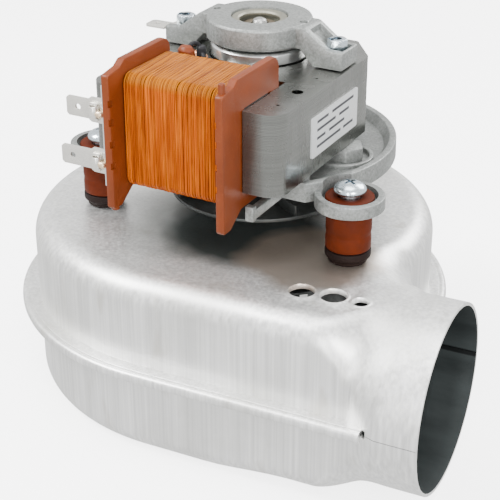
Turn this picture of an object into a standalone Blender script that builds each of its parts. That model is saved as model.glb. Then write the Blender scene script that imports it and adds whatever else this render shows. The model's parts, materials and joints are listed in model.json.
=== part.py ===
"""Flue-gas exhaust fan of a gas boiler.

A pressed scroll housing with a round outlet carries a C-frame shaded-pole motor on three rubber
dampers. The motor's shaft turns the impeller inside the housing. Metres, +Z up; the origin is the
middle of the underside of the whole object.
"""
import math

import bmesh
import bpy
from mathutils import Matrix, Vector

# ---------------------------------------------------------------- driving dimensions
GAP = 0.0003                      # clearance between neighbouring pieces

HOUSING_HEIGHT = 0.060
SHEET = 0.001
PRESS_RADIUS = 0.008              # rounded edge between wall and flat faces
DRUM_RADIUS = 0.0685
DRUM_CENTRE = (-0.008, -0.003)    # from the shaft axis
DRUM_SIDES = 48
DISH_DEPTH = 0.0025               # how far the drum's underside lies below the duct's
SEAM_HEIGHT = HOUSING_HEIGHT / 2
SEAM_REACH = 0.006                # how far the rolled seam stands out

OUTLET_RADIUS = 0.030
OUTLET_END = 0.085
OUTLET_Y = -0.0468
FLAT_SLIVER = 0.0002
DUCT_DROP = 0.0001                # the duct's flat faces lie this much inside the drum's
DUCT_BACK_Y = OUTLET_Y + OUTLET_RADIUS
DUCT_FRONT_START = -0.0712
DUCT_FRONT_END = -0.0719
FRONT_WALL_Y = DRUM_CENTRE[1] - DRUM_RADIUS
SEAM_END_X = 0.066
SEAM_FIRST_STEP, SEAM_LAST_STEP = 0, 3 * DRUM_SIDES // 4

INLET_RADIUS = 0.031
INLET_LIP_HEIGHT = 0.011
SHAFT_HOLE_RADIUS = 0.008
PRESSURE_TAPS = ((0.0393, -0.0537, 0.0040), (0.0491, -0.0525, 0.0041), (0.0578, -0.0527, 0.0025))

MOTOR_TURN = math.radians(-3)
DAMPER_RING_RADIUS = 0.0525
DAMPER_ANGLES = {"right": -33, "rear": 87, "left": 207}
RUBBER_RADIUS = 0.0072
PLATE_TOP = 0.0820
PLATE_BOTTOM = 0.0790
PLATE_RADIUS = 0.046

STACK_BOTTOM = 0.087
STACK_TOP = 0.113
FRAME_HALF_WIDTH = 0.033
FRAME_FRONT = -0.050
FRAME_BACK = 0.026
ARM_INNER = 0.0207
YOKE_FRONT = -0.022
ROTOR_BORE = 0.0165
BOLT_U = 0.0277
BOLT_RADIUS = 0.0018
UNDER_HEAD = 0.1173               # bottom of the washer and earth tab under the bolt heads
TAB_THICKNESS = 0.0008

CORE_BACK = -0.032
CORE_FRONT = -0.048
FLANGE_INNER = 0.0179
FLANGE_OUTER = 0.0204
FLANGE_FRONT = -0.061
FLANGE_REAR = -0.026
WINDING_HALF_WIDTH = 0.0172

BOSS_BOTTOM = 0.1183
BOSS_TOP = 0.1255
BOSS_RADIUS = 0.0172
FOOT_HALF_DEPTH = 0.0062

SHAFT_RADIUS = 0.0025
SHAFT_BOTTOM = 0.034
SHAFT_TOP = 0.1246
ROTOR_RADIUS = 0.0160

IMPELLER_RADIUS = 0.050
IMPELLER_TOP = 0.050
BLADE_COUNT = 10
BLADE_HEIGHT = 0.030

# The origin sits at the middle of the footprint; the shaft is a little off it. Heights below are
# from the duct's underside, which the shaft's empty lifts by the drum's extra depth.
LEFT_EDGE = DRUM_CENTRE[0] - DRUM_RADIUS - SEAM_REACH
BACK_EDGE = DRUM_CENTRE[1] + DRUM_RADIUS + SEAM_REACH
FRONT_EDGE = FRONT_WALL_Y - SEAM_REACH
SHAFT_X = -(LEFT_EDGE + OUTLET_END) / 2
SHAFT_Y = -(BACK_EDGE + FRONT_EDGE) / 2


# ---------------------------------------------------------------- scene and materials
def clear_scene():
    for item in list(bpy.data.objects):
        bpy.data.objects.remove(item, do_unlink=True)


def make_collection(name):
    collection = bpy.data.collections.new(name)
    bpy.context.scene.collection.children.link(collection)
    return collection


def make_material(name, colour, roughness, metallic=0.0):
    material = bpy.data.materials.new(name)
    material.use_nodes = True
    shader = material.node_tree.nodes["Principled BSDF"]
    shader.inputs["Base Color"].default_value = (*colour, 1.0)
    shader.inputs["Roughness"].default_value = roughness
    shader.inputs["Metallic"].default_value = metallic
    return material


clear_scene()
PARTS = make_collection("boiler_exhaust_fan")
CUTTERS = make_collection("cutters")

PRESSED_SHEET = make_material("pressed_sheet", (0.66, 0.67, 0.66), 0.42, 1.0)
CAST_ALLOY = make_material("cast_alloy", (0.44, 0.45, 0.44), 0.55, 1.0)
LAMINATED_STEEL = make_material("laminated_steel", (0.38, 0.38, 0.39), 0.38, 1.0)
BOBBIN_NYLON = make_material("bobbin_nylon", (0.62, 0.16, 0.03), 0.5)
ENAMELLED_WIRE = make_material("enamelled_wire", (0.85, 0.33, 0.03), 0.35, 0.4)
DAMPER_RUBBER = make_material("damper_rubber", (0.34, 0.07, 0.01), 0.6)
DARK_RUBBER = make_material("dark_rubber", (0.03, 0.02, 0.02), 0.7)
ZINC_PLATE = make_material("zinc_plate", (0.68, 0.74, 0.78), 0.25, 1.0)
TINNED_BRASS = make_material("tinned_brass", (0.78, 0.77, 0.70), 0.3, 1.0)
COPPER = make_material("copper", (0.80, 0.36, 0.20), 0.3, 1.0)
SINTERED_BRONZE = make_material("sintered_bronze", (0.45, 0.36, 0.22), 0.5, 1.0)
GROUND_STEEL = make_material("ground_steel", (0.70, 0.70, 0.69), 0.2, 1.0)
ROTOR_ALUMINIUM = make_material("rotor_aluminium", (0.78, 0.79, 0.79), 0.35, 1.0)
LABEL_FOIL = make_material("label_foil", (0.72, 0.73, 0.72), 0.45, 0.3)
BLACK_SLEEVE = make_material("black_sleeve", (0.02, 0.02, 0.02), 0.45)


def make_axis(name, parent=None, location=(0, 0, 0), turn=0.0):
    empty = bpy.data.objects.new(name, None)
    PARTS.objects.link(empty)
    empty.parent = parent
    empty.location = location
    empty.rotation_euler.z = turn
    return empty


SHAFT_AXIS = make_axis("shaft_axis", location=(SHAFT_X, SHAFT_Y, DISH_DEPTH))
MOTOR_AXIS = make_axis("motor_axis", parent=SHAFT_AXIS, turn=MOTOR_TURN)


# ---------------------------------------------------------------- shape helpers
def place(name, mesh, material=None, parent=SHAFT_AXIS, location=(0, 0, 0), turn=0.0):
    """Link a mesh as a part, or as a cutter when it has no material."""
    item = bpy.data.objects.new(name, mesh)
    item.parent = parent
    item.location = location
    item.rotation_euler.z = turn
    if material is None:
        CUTTERS.objects.link(item)
        item.hide_render = True
        item.display_type = "WIRE"
    else:
        PARTS.objects.link(item)
        mesh.materials.append(material)
    return item


def smooth(mesh):
    mesh.shade_smooth()
    mesh.set_sharp_from_angle(angle=math.radians(35))


def turned(name, profile, material=None, sides=24, **where):
    """Revolve (radius, height) points, listed down the outer side, about Z."""
    mesh = bpy.data.meshes.new(name)
    points = [(radius, 0, height) for radius, height in profile]
    edges = [(i, i + 1) for i in range(len(points) - 1)]
    closed = min(radius for radius, height in profile) > 0
    if closed:
        edges.append((len(points) - 1, 0))
    mesh.from_pydata(points, edges, [])
    item = place(name, mesh, material, **where)
    screw = item.modifiers.new("turn", "SCREW")
    screw.steps = sides
    screw.render_steps = sides
    screw.use_merge_vertices = True
    screw.merge_threshold = 0.00001
    return item


def ring(outer, inner, bottom, top):
    """Profile of a plain tube."""
    return [(outer, top), (outer, bottom), (inner, bottom), (inner, top)]


def box(name, low, high, material=None, bevel=0.0, **where):
    """A box between two corners."""
    mesh = bpy.data.meshes.new(name)
    shape = bmesh.new()
    size = Vector(high) - Vector(low)
    middle = (Vector(high) + Vector(low)) / 2
    bmesh.ops.create_cube(shape, size=1, matrix=Matrix.Translation(middle) @ Matrix.Diagonal((*size, 1)))
    shape.to_mesh(mesh)
    shape.free()
    item = place(name, mesh, material, **where)
    if bevel:
        soften(item, bevel)
    return item


def drum(name, radius, bottom, top, material=None, sides=16, axis="Z", **where):
    """A plain cylinder; axis X lays it along +X."""
    mesh = bpy.data.meshes.new(name)
    shape = bmesh.new()
    matrix = Matrix.Translation((0, 0, (bottom + top) / 2))
    if axis == "X":
        matrix = Matrix.Rotation(math.pi / 2, 4, "Y") @ matrix
    bmesh.ops.create_cone(shape, cap_ends=True, segments=sides, radius1=radius, radius2=radius,
                          depth=top - bottom, matrix=matrix)
    shape.to_mesh(mesh)
    shape.free()
    smooth(mesh)
    return place(name, mesh, material, **where)


def soften(item, width, segments=1):
    bevel = item.modifiers.new("soft_edges", "BEVEL")
    bevel.width = width
    bevel.segments = segments
    bevel.limit_method = "ANGLE"
    bevel.angle_limit = math.radians(40)


def combine(item, operand, operation):
    modifier = item.modifiers.new(operand.name, "BOOLEAN")
    modifier.operation = operation
    modifier.solver = "EXACT"
    modifier.object = operand


def weld_on(item, *operands):
    for operand in operands:
        combine(item, operand, "UNION")


def cut(item, *operands):
    for operand in operands:
        combine(item, operand, "DIFFERENCE")


def rounded(corners, steps=3):
    """Outline through (x, y, radius) corners, each corner an arc."""
    points = []
    for index, (x, y, radius) in enumerate(corners):
        here = Vector((x, y))
        if radius == 0:
            points.append(here)
            continue
        before = (Vector(corners[index - 1][:2]) - here).normalized()
        after = (Vector(corners[(index + 1) % len(corners)][:2]) - here).normalized()
        half = before.angle(after) / 2
        centre = here + (before + after).normalized() * radius / math.sin(half)
        start = here + before * radius / math.tan(half) - centre
        end = here + after * radius / math.tan(half) - centre
        sweep = math.atan2(start.x * end.y - start.y * end.x, start.dot(end))
        for step in range(steps + 1):
            points.append(centre + Matrix.Rotation(sweep * step / steps, 2) @ start)
    return points


def circle(radius, x=0.0, y=0.0, sides=16):
    turns = [2 * math.pi * step / sides for step in range(sides)]
    return [Vector((x + radius * math.cos(turn), y + radius * math.sin(turn))) for turn in turns]


def plate(name, outlines, bottom, top, material=None, upright=False, **where):
    """Flat outlines, the later ones holes, with a thickness from bottom to top.

    An upright plate has its outline in the X-Z plane and its thickness along -Y.
    """
    curve = bpy.data.curves.new(name, "CURVE")
    curve.dimensions = "2D"
    curve.fill_mode = "BOTH"
    curve.extrude = (top - bottom) / 2
    for outline in outlines:
        spline = curve.splines.new("POLY")
        spline.points.add(len(outline) - 1)
        for point, (x, y) in zip(spline.points, outline):
            point.co = (x, y, 0, 1)
        spline.use_cyclic_u = True
    guide = bpy.data.objects.new(name, curve)
    CUTTERS.objects.link(guide)
    depsgraph = bpy.context.evaluated_depsgraph_get()
    mesh = bpy.data.meshes.new_from_object(guide.evaluated_get(depsgraph))
    bpy.data.objects.remove(guide, do_unlink=True)
    bpy.data.curves.remove(curve)
    mesh.transform(Matrix.Translation((0, 0, (top + bottom) / 2)))
    if upright:
        mesh.transform(Matrix.Rotation(math.pi / 2, 4, "X"))
    weld(mesh)
    mesh.name = name
    mesh.materials.clear()
    return place(name, mesh, material, **where)


def weld(mesh):
    """Merge doubled points and turn the faces outwards."""
    shape = bmesh.new()
    shape.from_mesh(mesh)
    bmesh.ops.remove_doubles(shape, verts=shape.verts, dist=0.000005)
    bmesh.ops.recalc_face_normals(shape, faces=shape.faces)
    shape.to_mesh(mesh)
    shape.free()
    smooth(mesh)


def loft(name, sections, material=None, **where):
    """Skin over equal-length loops of points, closed with a cap at each end."""
    mesh = bpy.data.meshes.new(name)
    shape = bmesh.new()
    loops = [[shape.verts.new(point) for point in section] for section in sections]
    for one, two in zip(loops, loops[1:]):
        for index in range(len(one)):
            shape.faces.new((one[index - 1], one[index], two[index], two[index - 1]))
    shape.faces.new(loops[0])
    shape.faces.new(list(reversed(loops[-1])))
    shape.to_mesh(mesh)
    shape.free()
    weld(mesh)
    return place(name, mesh, material, **where)


def wire(name, route, radius, material, closed=False, parent=SHAFT_AXIS):
    """A round wire along points."""
    curve = bpy.data.curves.new(name, "CURVE")
    curve.dimensions = "3D"
    curve.bevel_depth = radius
    curve.bevel_resolution = 2
    curve.use_fill_caps = not closed
    spline = curve.splines.new("POLY")
    spline.points.add(len(route) - 1)
    for point, place_at in zip(spline.points, route):
        point.co = (*place_at, 1)
    spline.use_cyclic_u = closed
    item = bpy.data.objects.new(name, curve)
    item.parent = parent
    PARTS.objects.link(item)
    curve.materials.append(material)
    return item


# ---------------------------------------------------------------- housing
def ease(value):
    value = min(max(value, 0.0), 1.0)
    return value * value * (3 - 2 * value)


def duct_front(x):
    """Y of the duct's front wall: a slight spread, then a step out to the round outlet."""
    spread = (x - DRUM_CENTRE[0]) / (0.062 - DRUM_CENTRE[0])
    wall = DUCT_FRONT_START + (DUCT_FRONT_END - DUCT_FRONT_START) * min(max(spread, 0), 1)
    return wall + (OUTLET_Y - OUTLET_RADIUS - wall) * ease((x - 0.061) / 0.012)


def duct_floor(x):
    """Height of the duct's underside, rising out of the drum's."""
    return -DISH_DEPTH * (1 - ease((x - 0.010) / 0.035))


def duct_section(x, inset, corner_steps=5):
    """Rounded rectangle that turns into the outlet's circle, with a sliver of flat left on each side."""
    front = duct_front(x)
    half_width = (DUCT_BACK_Y - front) / 2 - inset
    floor = duct_floor(x)
    half_height = (HOUSING_HEIGHT - floor) / 2 - inset - DUCT_DROP * (1 - ease((x - 0.050) / 0.020))
    middle = (DUCT_BACK_Y + front) / 2
    level_middle = (HOUSING_HEIGHT + floor) / 2
    radius = PRESS_RADIUS + (OUTLET_RADIUS - PRESS_RADIUS) * ease((x - 0.046) / 0.027)
    radius = min(radius - inset, half_width - FLAT_SLIVER, half_height - FLAT_SLIVER)
    points = []
    for corner, (side, level) in enumerate(((1, 1), (-1, 1), (-1, -1), (1, -1))):
        for step in range(corner_steps + 1):
            turn = math.pi / 2 * (corner + step / corner_steps)
            y = middle + side * (half_width - radius) + radius * math.cos(turn)
            z = level_middle + level * (half_height - radius) + radius * math.sin(turn)
            points.append((x, y, z))
    return points


def scroll(name, inset, overrun):
    """Solid drum with its outlet duct, drawn in by inset."""
    radius = DRUM_RADIUS - inset
    edge = PRESS_RADIUS - inset
    low, high = inset - DISH_DEPTH, HOUSING_HEIGHT - inset
    turns = [math.pi / 2 * step / 3 for step in range(4)]
    upper = [(radius - edge + edge * math.sin(turn), high - edge + edge * math.cos(turn)) for turn in turns]
    lower = [(point, low + high - height) for point, height in reversed(upper)]
    body = turned(name, [(0, high), *upper, *lower, (0, low)], sides=DRUM_SIDES,
                  location=(*DRUM_CENTRE, 0))
    stations = [DRUM_CENTRE[0], 0.010, 0.022, 0.034, 0.046, 0.054, 0.0605, 0.0645, 0.0680, 0.0710, 0.0732, OUTLET_END + overrun]
    weld_on(body, loft(name + "_duct", [duct_section(x, inset) for x in stations]))
    return body


def seam_path():
    """Points and outward directions along the rolled seam, from the tongue round to the outlet."""
    path = []
    for step in range(SEAM_FIRST_STEP, SEAM_LAST_STEP + 1):
        turn = 2 * math.pi * step / DRUM_SIDES
        outward = Vector((math.cos(turn), math.sin(turn), 0))
        path.append((Vector((*DRUM_CENTRE, 0)) + outward * DRUM_RADIUS, outward))
    for x in (0.030, SEAM_END_X):
        path.append((Vector((x, FRONT_WALL_Y, 0)), Vector((0, -1, 0))))
    return path


def seam_strip(name, outline):
    """Sweep an (outward, height) outline along the seam."""
    sections = [[point + outward * reach + Vector((0, 0, height)) for reach, height in outline]
                for point, outward in seam_path()]
    return loft(name, sections)


def housing():
    outer = scroll("scroll_outside", 0.0, 0.0)
    inner = scroll("scroll_inside", SHEET, 0.003)
    reach = 0.2
    root = -0.0004
    upper_low = SEAM_HEIGHT + GAP / 2
    lower_high = SEAM_HEIGHT - GAP / 2
    upper_flange = [(root, upper_low), (0.0046, upper_low), (0.0046, upper_low + SHEET),
                    (root, upper_low + SHEET)]
    crimp_top = upper_low + SHEET + GAP + SHEET
    lower_crimp = [(root, lower_high - SHEET), (SEAM_REACH, lower_high - SHEET), (SEAM_REACH, crimp_top),
                   (0.0026, crimp_top), (0.0026, crimp_top - SHEET), (0.0049, crimp_top - SHEET),
                   (0.0049, lower_high), (root, lower_high)]

    upper_half = box("upper_half", (-reach, -reach, upper_low), (reach, reach, reach))
    lower_half = box("lower_half", (-reach, -reach, -reach), (reach, reach, lower_high))

    upper = copy_of(outer, "upper_shell")
    cut(upper, inner)
    combine(upper, upper_half, "INTERSECT")
    weld_on(upper, seam_strip("upper_flange", upper_flange))
    cut(upper, drum("shaft_hole", SHAFT_HOLE_RADIUS, 0.05, 0.07))
    for number, (x, y, radius) in enumerate(PRESSURE_TAPS, 1):
        cut(upper, drum(f"pressure_tap_{number}", radius, 0.05, 0.07, location=(x, y, 0)))
    for side, angle in DAMPER_ANGLES.items():
        cut(upper, drum(f"{side}_screw_hole", 0.0022, 0.05, 0.07, sides=12, location=damper_at(angle)))

    lower = copy_of(outer, "lower_shell")
    cut(lower, inner)
    combine(lower, lower_half, "INTERSECT")
    weld_on(lower, seam_strip("lower_crimp", lower_crimp))
    lip = turned("inlet_lip", ring(INLET_RADIUS + SHEET, INLET_RADIUS, SHEET / 3 - DISH_DEPTH, INLET_LIP_HEIGHT), sides=32)
    cut(lower, drum("inlet_eye", INLET_RADIUS + SHEET / 2, -0.01, 0.01, sides=32))
    weld_on(lower, lip)


def copy_of(item, name):
    """A part that repeats a cutter's mesh and modifiers."""
    mesh = item.data.copy()
    twin = place(name, mesh, PRESSED_SHEET, location=item.location)
    for modifier in item.modifiers:
        fresh = twin.modifiers.new(modifier.name, modifier.type)
        if modifier.type == "SCREW":
            fresh.steps = fresh.render_steps = modifier.steps
            fresh.use_merge_vertices = True
            fresh.merge_threshold = modifier.merge_threshold
        else:
            fresh.operation = modifier.operation
            fresh.solver = modifier.solver
            fresh.object = modifier.object
    return twin


# ---------------------------------------------------------------- dampers
def damper_at(angle, height=0.0):
    turn = math.radians(angle)
    return (DAMPER_RING_RADIUS * math.cos(turn), DAMPER_RING_RADIUS * math.sin(turn), height)


def dampers():
    base = HOUSING_HEIGHT
    lip_low, lip_high = 0.0786, 0.0797
    for side, angle in DAMPER_ANGLES.items():
        spot = damper_at(angle)
        foot = [(0.0073, base + 0.0046), (0.0073, base + 0.0024), (0.0048, base + 0.0022),
                (0.0048, base + GAP), (0.0025, base + GAP), (0.0025, base + 0.0046)]
        turned(f"damper_foot_{side}", foot, DARK_RUBBER, sides=20, location=spot)
        rubber = [(0.0077, 0.0822), (0.0077, lip_high + GAP), (0.0055, lip_high + GAP),
                  (0.0055, lip_low - GAP), (RUBBER_RADIUS, lip_low - GAP), (RUBBER_RADIUS, base + 0.0049),
                  (0.0037, base + 0.0049), (0.0037, 0.0822)]
        turned(f"damper_{side}", rubber, DAMPER_RUBBER, sides=20, location=spot)
        turned(f"damper_bush_{side}", ring(0.0034, 0.0024, base + 0.0049, 0.0842), ZINC_PLATE,
               sides=12, location=spot)
        head = [(0, 0.0878), (0.0022, 0.0875), (0.0040, 0.0866), (0.0050, 0.0853), (0.0050, 0.0845),
                (0.0019, 0.0845), (0.0019, 0.0550), (0, 0.0550)]
        turned(f"damper_screw_{side}", head, ZINC_PLATE, sides=16, location=spot)


# ---------------------------------------------------------------- brackets
def bearing_seat(item, name, low, high, floor):
    """Bore a bearing seat with a smaller hole through its floor."""
    cut(item, drum(name + "_seat", 0.0093, low, high, sides=24, parent=MOTOR_AXIS))
    cut(item, drum(name + "_floor", 0.0040, *floor, parent=MOTOR_AXIS))


def lower_bracket():
    rim = PLATE_RADIUS
    bracket = turned("lower_bracket", [(0, PLATE_TOP), (rim - 0.0022, PLATE_TOP), (rim - 0.0022, 0.0855),
                                       (rim, 0.0855), (rim, PLATE_BOTTOM), (0, PLATE_BOTTOM)],
                     CAST_ALLOY, sides=36, parent=MOTOR_AXIS)
    cut(bracket, box("coil_notch", (-0.0217, -0.070, 0.070), (0.0217, -0.0240, 0.095), parent=MOTOR_AXIS))
    weld_on(bracket, drum("lower_boss", 0.0125, 0.0715, PLATE_TOP - 0.0005, sides=24, parent=MOTOR_AXIS))
    for side, angle in DAMPER_ANGLES.items():
        spot = damper_at(angle)
        weld_on(bracket, drum(f"{side}_ring", 0.0110, 0.0786, 0.0825, sides=20, location=spot))
        cut(bracket, drum(f"{side}_ring_bore", 0.0088, 0.0797, 0.0900, sides=20, location=spot))
        cut(bracket, drum(f"{side}_ring_neck", 0.0060, 0.0700, 0.0810, sides=16, location=spot))
    for side in (-1, 1):
        name = "left" if side < 0 else "right"
        horn = sorted((side * 0.0219, side * 0.0245))
        weld_on(bracket, box(f"{name}_horn", (horn[0], -0.0500, 0.0782), (horn[1], -0.0230, 0.0815),
                             parent=MOTOR_AXIS))
        weld_on(bracket, drum(f"{name}_post", 0.0034, 0.0800, STACK_BOTTOM - GAP, sides=12,
                              location=(side * 0.0280, -0.0265, 0), parent=MOTOR_AXIS))
        weld_on(bracket, drum(f"{name}_pillar", 0.0068, 0.0800, STACK_BOTTOM - GAP, sides=6,
                              location=(side * 0.0312, 0, 0), parent=MOTOR_AXIS))
        cut(bracket, drum(f"{name}_thread", BOLT_RADIUS + GAP, 0.0700, 0.0900, sides=12,
                          location=(side * BOLT_U, 0, 0), parent=MOTOR_AXIS))
    bearing_seat(bracket, "lower", 0.0700, 0.0788, (0.0780, 0.0900))


def upper_bracket():
    foot_low = STACK_TOP + GAP
    half = [(0, BOSS_BOTTOM), (0.0175, BOSS_BOTTOM), (0.0222, foot_low), (0.0322, foot_low),
            (0.0322, 0.1190), (0.0270, 0.1192), (0.0188, BOSS_TOP), (0, BOSS_TOP)]
    outline = half + [(-x, z) for x, z in reversed(half[1:-1])]
    bracket = plate("upper_bracket", [outline], -FOOT_HALF_DEPTH, FOOT_HALF_DEPTH, CAST_ALLOY,
                    upright=True, parent=MOTOR_AXIS)
    weld_on(bracket, drum("upper_boss", BOSS_RADIUS, BOSS_BOTTOM, BOSS_TOP, sides=36, parent=MOTOR_AXIS))
    for side in (-1, 1):
        name = "left" if side < 0 else "right"
        end = 0.0313 if side > 0 else 0.0340
        channel = [(0.0200, 0.1270), (0.0200, 0.1225), (0.0242, 0.1170), (end, 0.1170), (end, 0.1270)]
        channel = [(side * x, z) for x, z in channel]
        cut(bracket, plate(f"{name}_channel", [channel], -0.0035, 0.0042, upright=True, parent=MOTOR_AXIS))
        cut(bracket, drum(f"{name}_bolt_hole", BOLT_RADIUS + GAP, 0.1100, 0.1200, sides=12,
                          location=(side * BOLT_U, 0, 0), parent=MOTOR_AXIS))
        cut(bracket, drum(f"{name}_tooling_hole", 0.0013, 0.1225, 0.1270, sides=12,
                          location=(side * 0.0158, 0, 0), parent=MOTOR_AXIS))
    bearing_seat(bracket, "upper", 0.1208, 0.1300, (0.1150, 0.1220))
    tab = [(-0.0405, -0.0060, 0.0008), (-0.0327, -0.0060, 0), (-0.0327, -0.0034, 0), (-0.0250, -0.0034, 0),
           (-0.0250, 0.0029, 0), (-0.0327, 0.0029, 0), (-0.0327, 0.0003, 0), (-0.0405, 0.0003, 0.0008)]
    plate("earth_tab", [rounded(tab, 1), circle(BOLT_RADIUS + GAP, -BOLT_U, 0, sides=12)], UNDER_HEAD,
          UNDER_HEAD + TAB_THICKNESS, TINNED_BRASS, parent=MOTOR_AXIS)
    turned("bolt_washer", ring(0.0031, BOLT_RADIUS + GAP, UNDER_HEAD, UNDER_HEAD + TAB_THICKNESS), ZINC_PLATE,
           sides=16, location=(BOLT_U, 0, 0), parent=MOTOR_AXIS)


def bearings():
    for name, face, way in (("upper", 0.1252, -1), ("lower", 0.0718, 1)):
        retainer = [(0.0090, 0), (0.0090, 0.0040), (0.0083, 0.0040), (0.0083, 0.0010), (0.0066, 0.0010),
                    (0.0066, 0)]
        ball = [(0.0045, 0.0012), (0.0058, 0.0020), (0.0058, 0.0034), (0.0045, 0.0042),
                (SHAFT_RADIUS + GAP, 0.0042), (SHAFT_RADIUS + GAP, 0.0012)]
        for piece, profile, material in (("bearing_retainer", retainer, TINNED_BRASS),
                                         ("bearing", ball, SINTERED_BRONZE)):
            points = [(radius, face + way * depth) for radius, depth in profile]
            if way > 0:
                points.reverse()
            turned(f"{name}_{piece}", points, material, sides=20, parent=MOTOR_AXIS)


def bolts():
    for side in (-1, 1):
        name = "left" if side < 0 else "right"
        spot = (side * BOLT_U, 0, 0)
        seat = UNDER_HEAD + TAB_THICKNESS + GAP
        shank = turned(f"bracket_bolt_{name}", [(0, seat + 0.001), (BOLT_RADIUS, seat + 0.001),
                                                (BOLT_RADIUS, 0.0800), (0, 0.0800)], ZINC_PLATE, sides=12,
                       location=spot, parent=MOTOR_AXIS)
        weld_on(shank, drum(f"{name}_bolt_head", 0.0033, seat, seat + 0.0034, sides=6, location=spot,
                            parent=MOTOR_AXIS))


# ---------------------------------------------------------------- stator and coil
def stator():
    front, back = FRAME_FRONT, FRAME_BACK
    right = [(ARM_INNER, YOKE_FRONT, 0), (ARM_INNER, front, 0), (FRAME_HALF_WIDTH, front, 0.0115),
             (FRAME_HALF_WIDTH, 0.0130, 0.002), (0.0235, back, 0.002)]
    left = [(-x, y, radius) for x, y, radius in reversed(right)]
    holes = [circle(ROTOR_BORE, sides=32)]
    for side in (-1, 1):
        holes.append(circle(BOLT_RADIUS + GAP, side * BOLT_U, 0, sides=12))
        holes.append(circle(0.0018, side * 0.0278, -0.0280, sides=12))
        holes += [circle(0.0013, x, y, sides=8) for x, y in shading_holes(side)]
    plate("stator_core", [rounded(right + left, 4), *holes], STACK_BOTTOM, STACK_TOP, LAMINATED_STEEL,
          parent=MOTOR_AXIS)
    box("coil_core", (-ARM_INNER + GAP, CORE_FRONT, STACK_BOTTOM), (ARM_INNER - GAP, CORE_BACK, STACK_TOP),
        LAMINATED_STEEL, bevel=0.0006, parent=MOTOR_AXIS)
    for side in (-1, 1):
        name = "left" if side < 0 else "right"
        near, far = shading_holes(side)
        low, high = STACK_BOTTOM - 0.0013, STACK_TOP + 0.0013
        loop = [(*near, low), (*near, high), (*far, high), (*far, low)]
        wire(f"shading_ring_{name}", loop, 0.0009, COPPER, closed=True, parent=MOTOR_AXIS)
    box("rating_plate", (FRAME_HALF_WIDTH + GAP, -0.0290, 0.0925),
        (FRAME_HALF_WIDTH + GAP + 0.0003, 0.0040, 0.1055), LABEL_FOIL, parent=MOTOR_AXIS)


def shading_holes(side):
    """Where a shading ring passes through a pole: beside the bore, and further out."""
    places = []
    for radius, angle in ((0.0190, 52), (0.0225, 38)):
        turn = math.radians(angle if side > 0 else angle + 180)
        places.append((radius * math.cos(turn), radius * math.sin(turn)))
    return places


def bobbin():
    tube_front, tube_back = CORE_FRONT - GAP, CORE_BACK + GAP
    wall = 0.0012
    body = box("bobbin", (-FLANGE_INNER - 0.0005, tube_front - wall, STACK_BOTTOM - GAP - wall),
               (FLANGE_INNER + 0.0005, tube_back + wall, STACK_TOP + GAP + wall), BOBBIN_NYLON,
               parent=MOTOR_AXIS)
    for side in (-1, 1):
        name = "left" if side < 0 else "right"
        foot = [(FLANGE_FRONT, 0.0772, 0.0008), (FLANGE_FRONT + 0.0045, 0.0772, 0.0008),
                (-0.0500, 0.0815, 0), (FLANGE_REAR, 0.0815, 0.002)]
        crown = [(FLANGE_REAR, 0.1232, 0.004), (-0.0520, 0.1232, 0.001), (-0.0545, 0.1215, 0.001),
                 (FLANGE_FRONT, 0.1205, 0.001)]
        low, high = sorted((side * FLANGE_INNER, side * FLANGE_OUTER))
        flange = plate(f"{name}_flange", [rounded(foot + crown, 2)], low, high, parent=MOTOR_AXIS)
        flange.data.transform(Matrix(((0, 0, 1, 0), (1, 0, 0, 0), (0, 1, 0, 0), (0, 0, 0, 1))))
        weld_on(body, flange)
    cut(body, box("core_slot", (-0.05, tube_front, STACK_BOTTOM - GAP), (0.05, tube_back, STACK_TOP + GAP),
                  parent=MOTOR_AXIS))


def winding():
    """Wire wound round the bobbin: a rounded loop, slightly full in the middle."""
    tube_front, tube_back = CORE_FRONT - GAP - 0.0015, CORE_BACK + GAP + 0.0015
    low, high = STACK_BOTTOM - GAP - 0.0015, STACK_TOP + GAP + 0.0015
    inner = rounded([(tube_front, low, 0.0006), (tube_back, low, 0.0006), (tube_back, high, 0.0006),
                     (tube_front, high, 0.0006)], 3)
    outer = rounded([(-0.0545, 0.0825, 0.003), (-0.0262, 0.0825, 0.003), (-0.0262, 0.1195, 0.0035),
                     (-0.0545, 0.1195, 0.003)], 3)
    coil = plate("winding", [outer, inner], -WINDING_HALF_WIDTH, WINDING_HALF_WIDTH, ENAMELLED_WIRE,
                 parent=MOTOR_AXIS)
    coil.data.transform(Matrix(((0, 0, 1, 0), (1, 0, 0, 0), (0, 1, 0, 0), (0, 0, 0, 1))))


def terminals():
    for name, tip, height in (("upper", -0.0355, 0.1078), ("lower", -0.0385, 0.0914)):
        blade = [(tip, -0.0024, 0), (tip + 0.0008, -0.00315, 0), (-0.0275, -0.00315, 0),
                 (-0.0265, -0.0040, 0), (-0.0209, -0.0040, 0), (-0.0209, 0.0040, 0),
                 (-0.0265, 0.0040, 0), (-0.0275, 0.00315, 0), (tip + 0.0008, 0.00315, 0),
                 (tip, 0.0024, 0)]
        outline = [(x, z + height) for x, z, radius in blade]
        hole = circle(0.0009, tip + 0.0042, height, sides=8)
        plate(f"{name}_terminal", [outline, hole], 0.0576, 0.0584, TINNED_BRASS, upright=True,
              parent=MOTOR_AXIS)
    turned("splice_cap", [(0, 0.1200), (0.0014, 0.1196), (0.0023, 0.1182), (0.0024, 0.1158), (0.0020, 0.1134),
                          (0, 0.1134)], BOBBIN_NYLON, sides=12, location=(-0.0137, -0.0235, 0), parent=MOTOR_AXIS)
    drum("thermal_fuse", 0.0016, 0.1135, 0.1190, BLACK_SLEEVE, sides=12, location=(-0.0108, -0.0190, 0),
         parent=MOTOR_AXIS)


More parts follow.
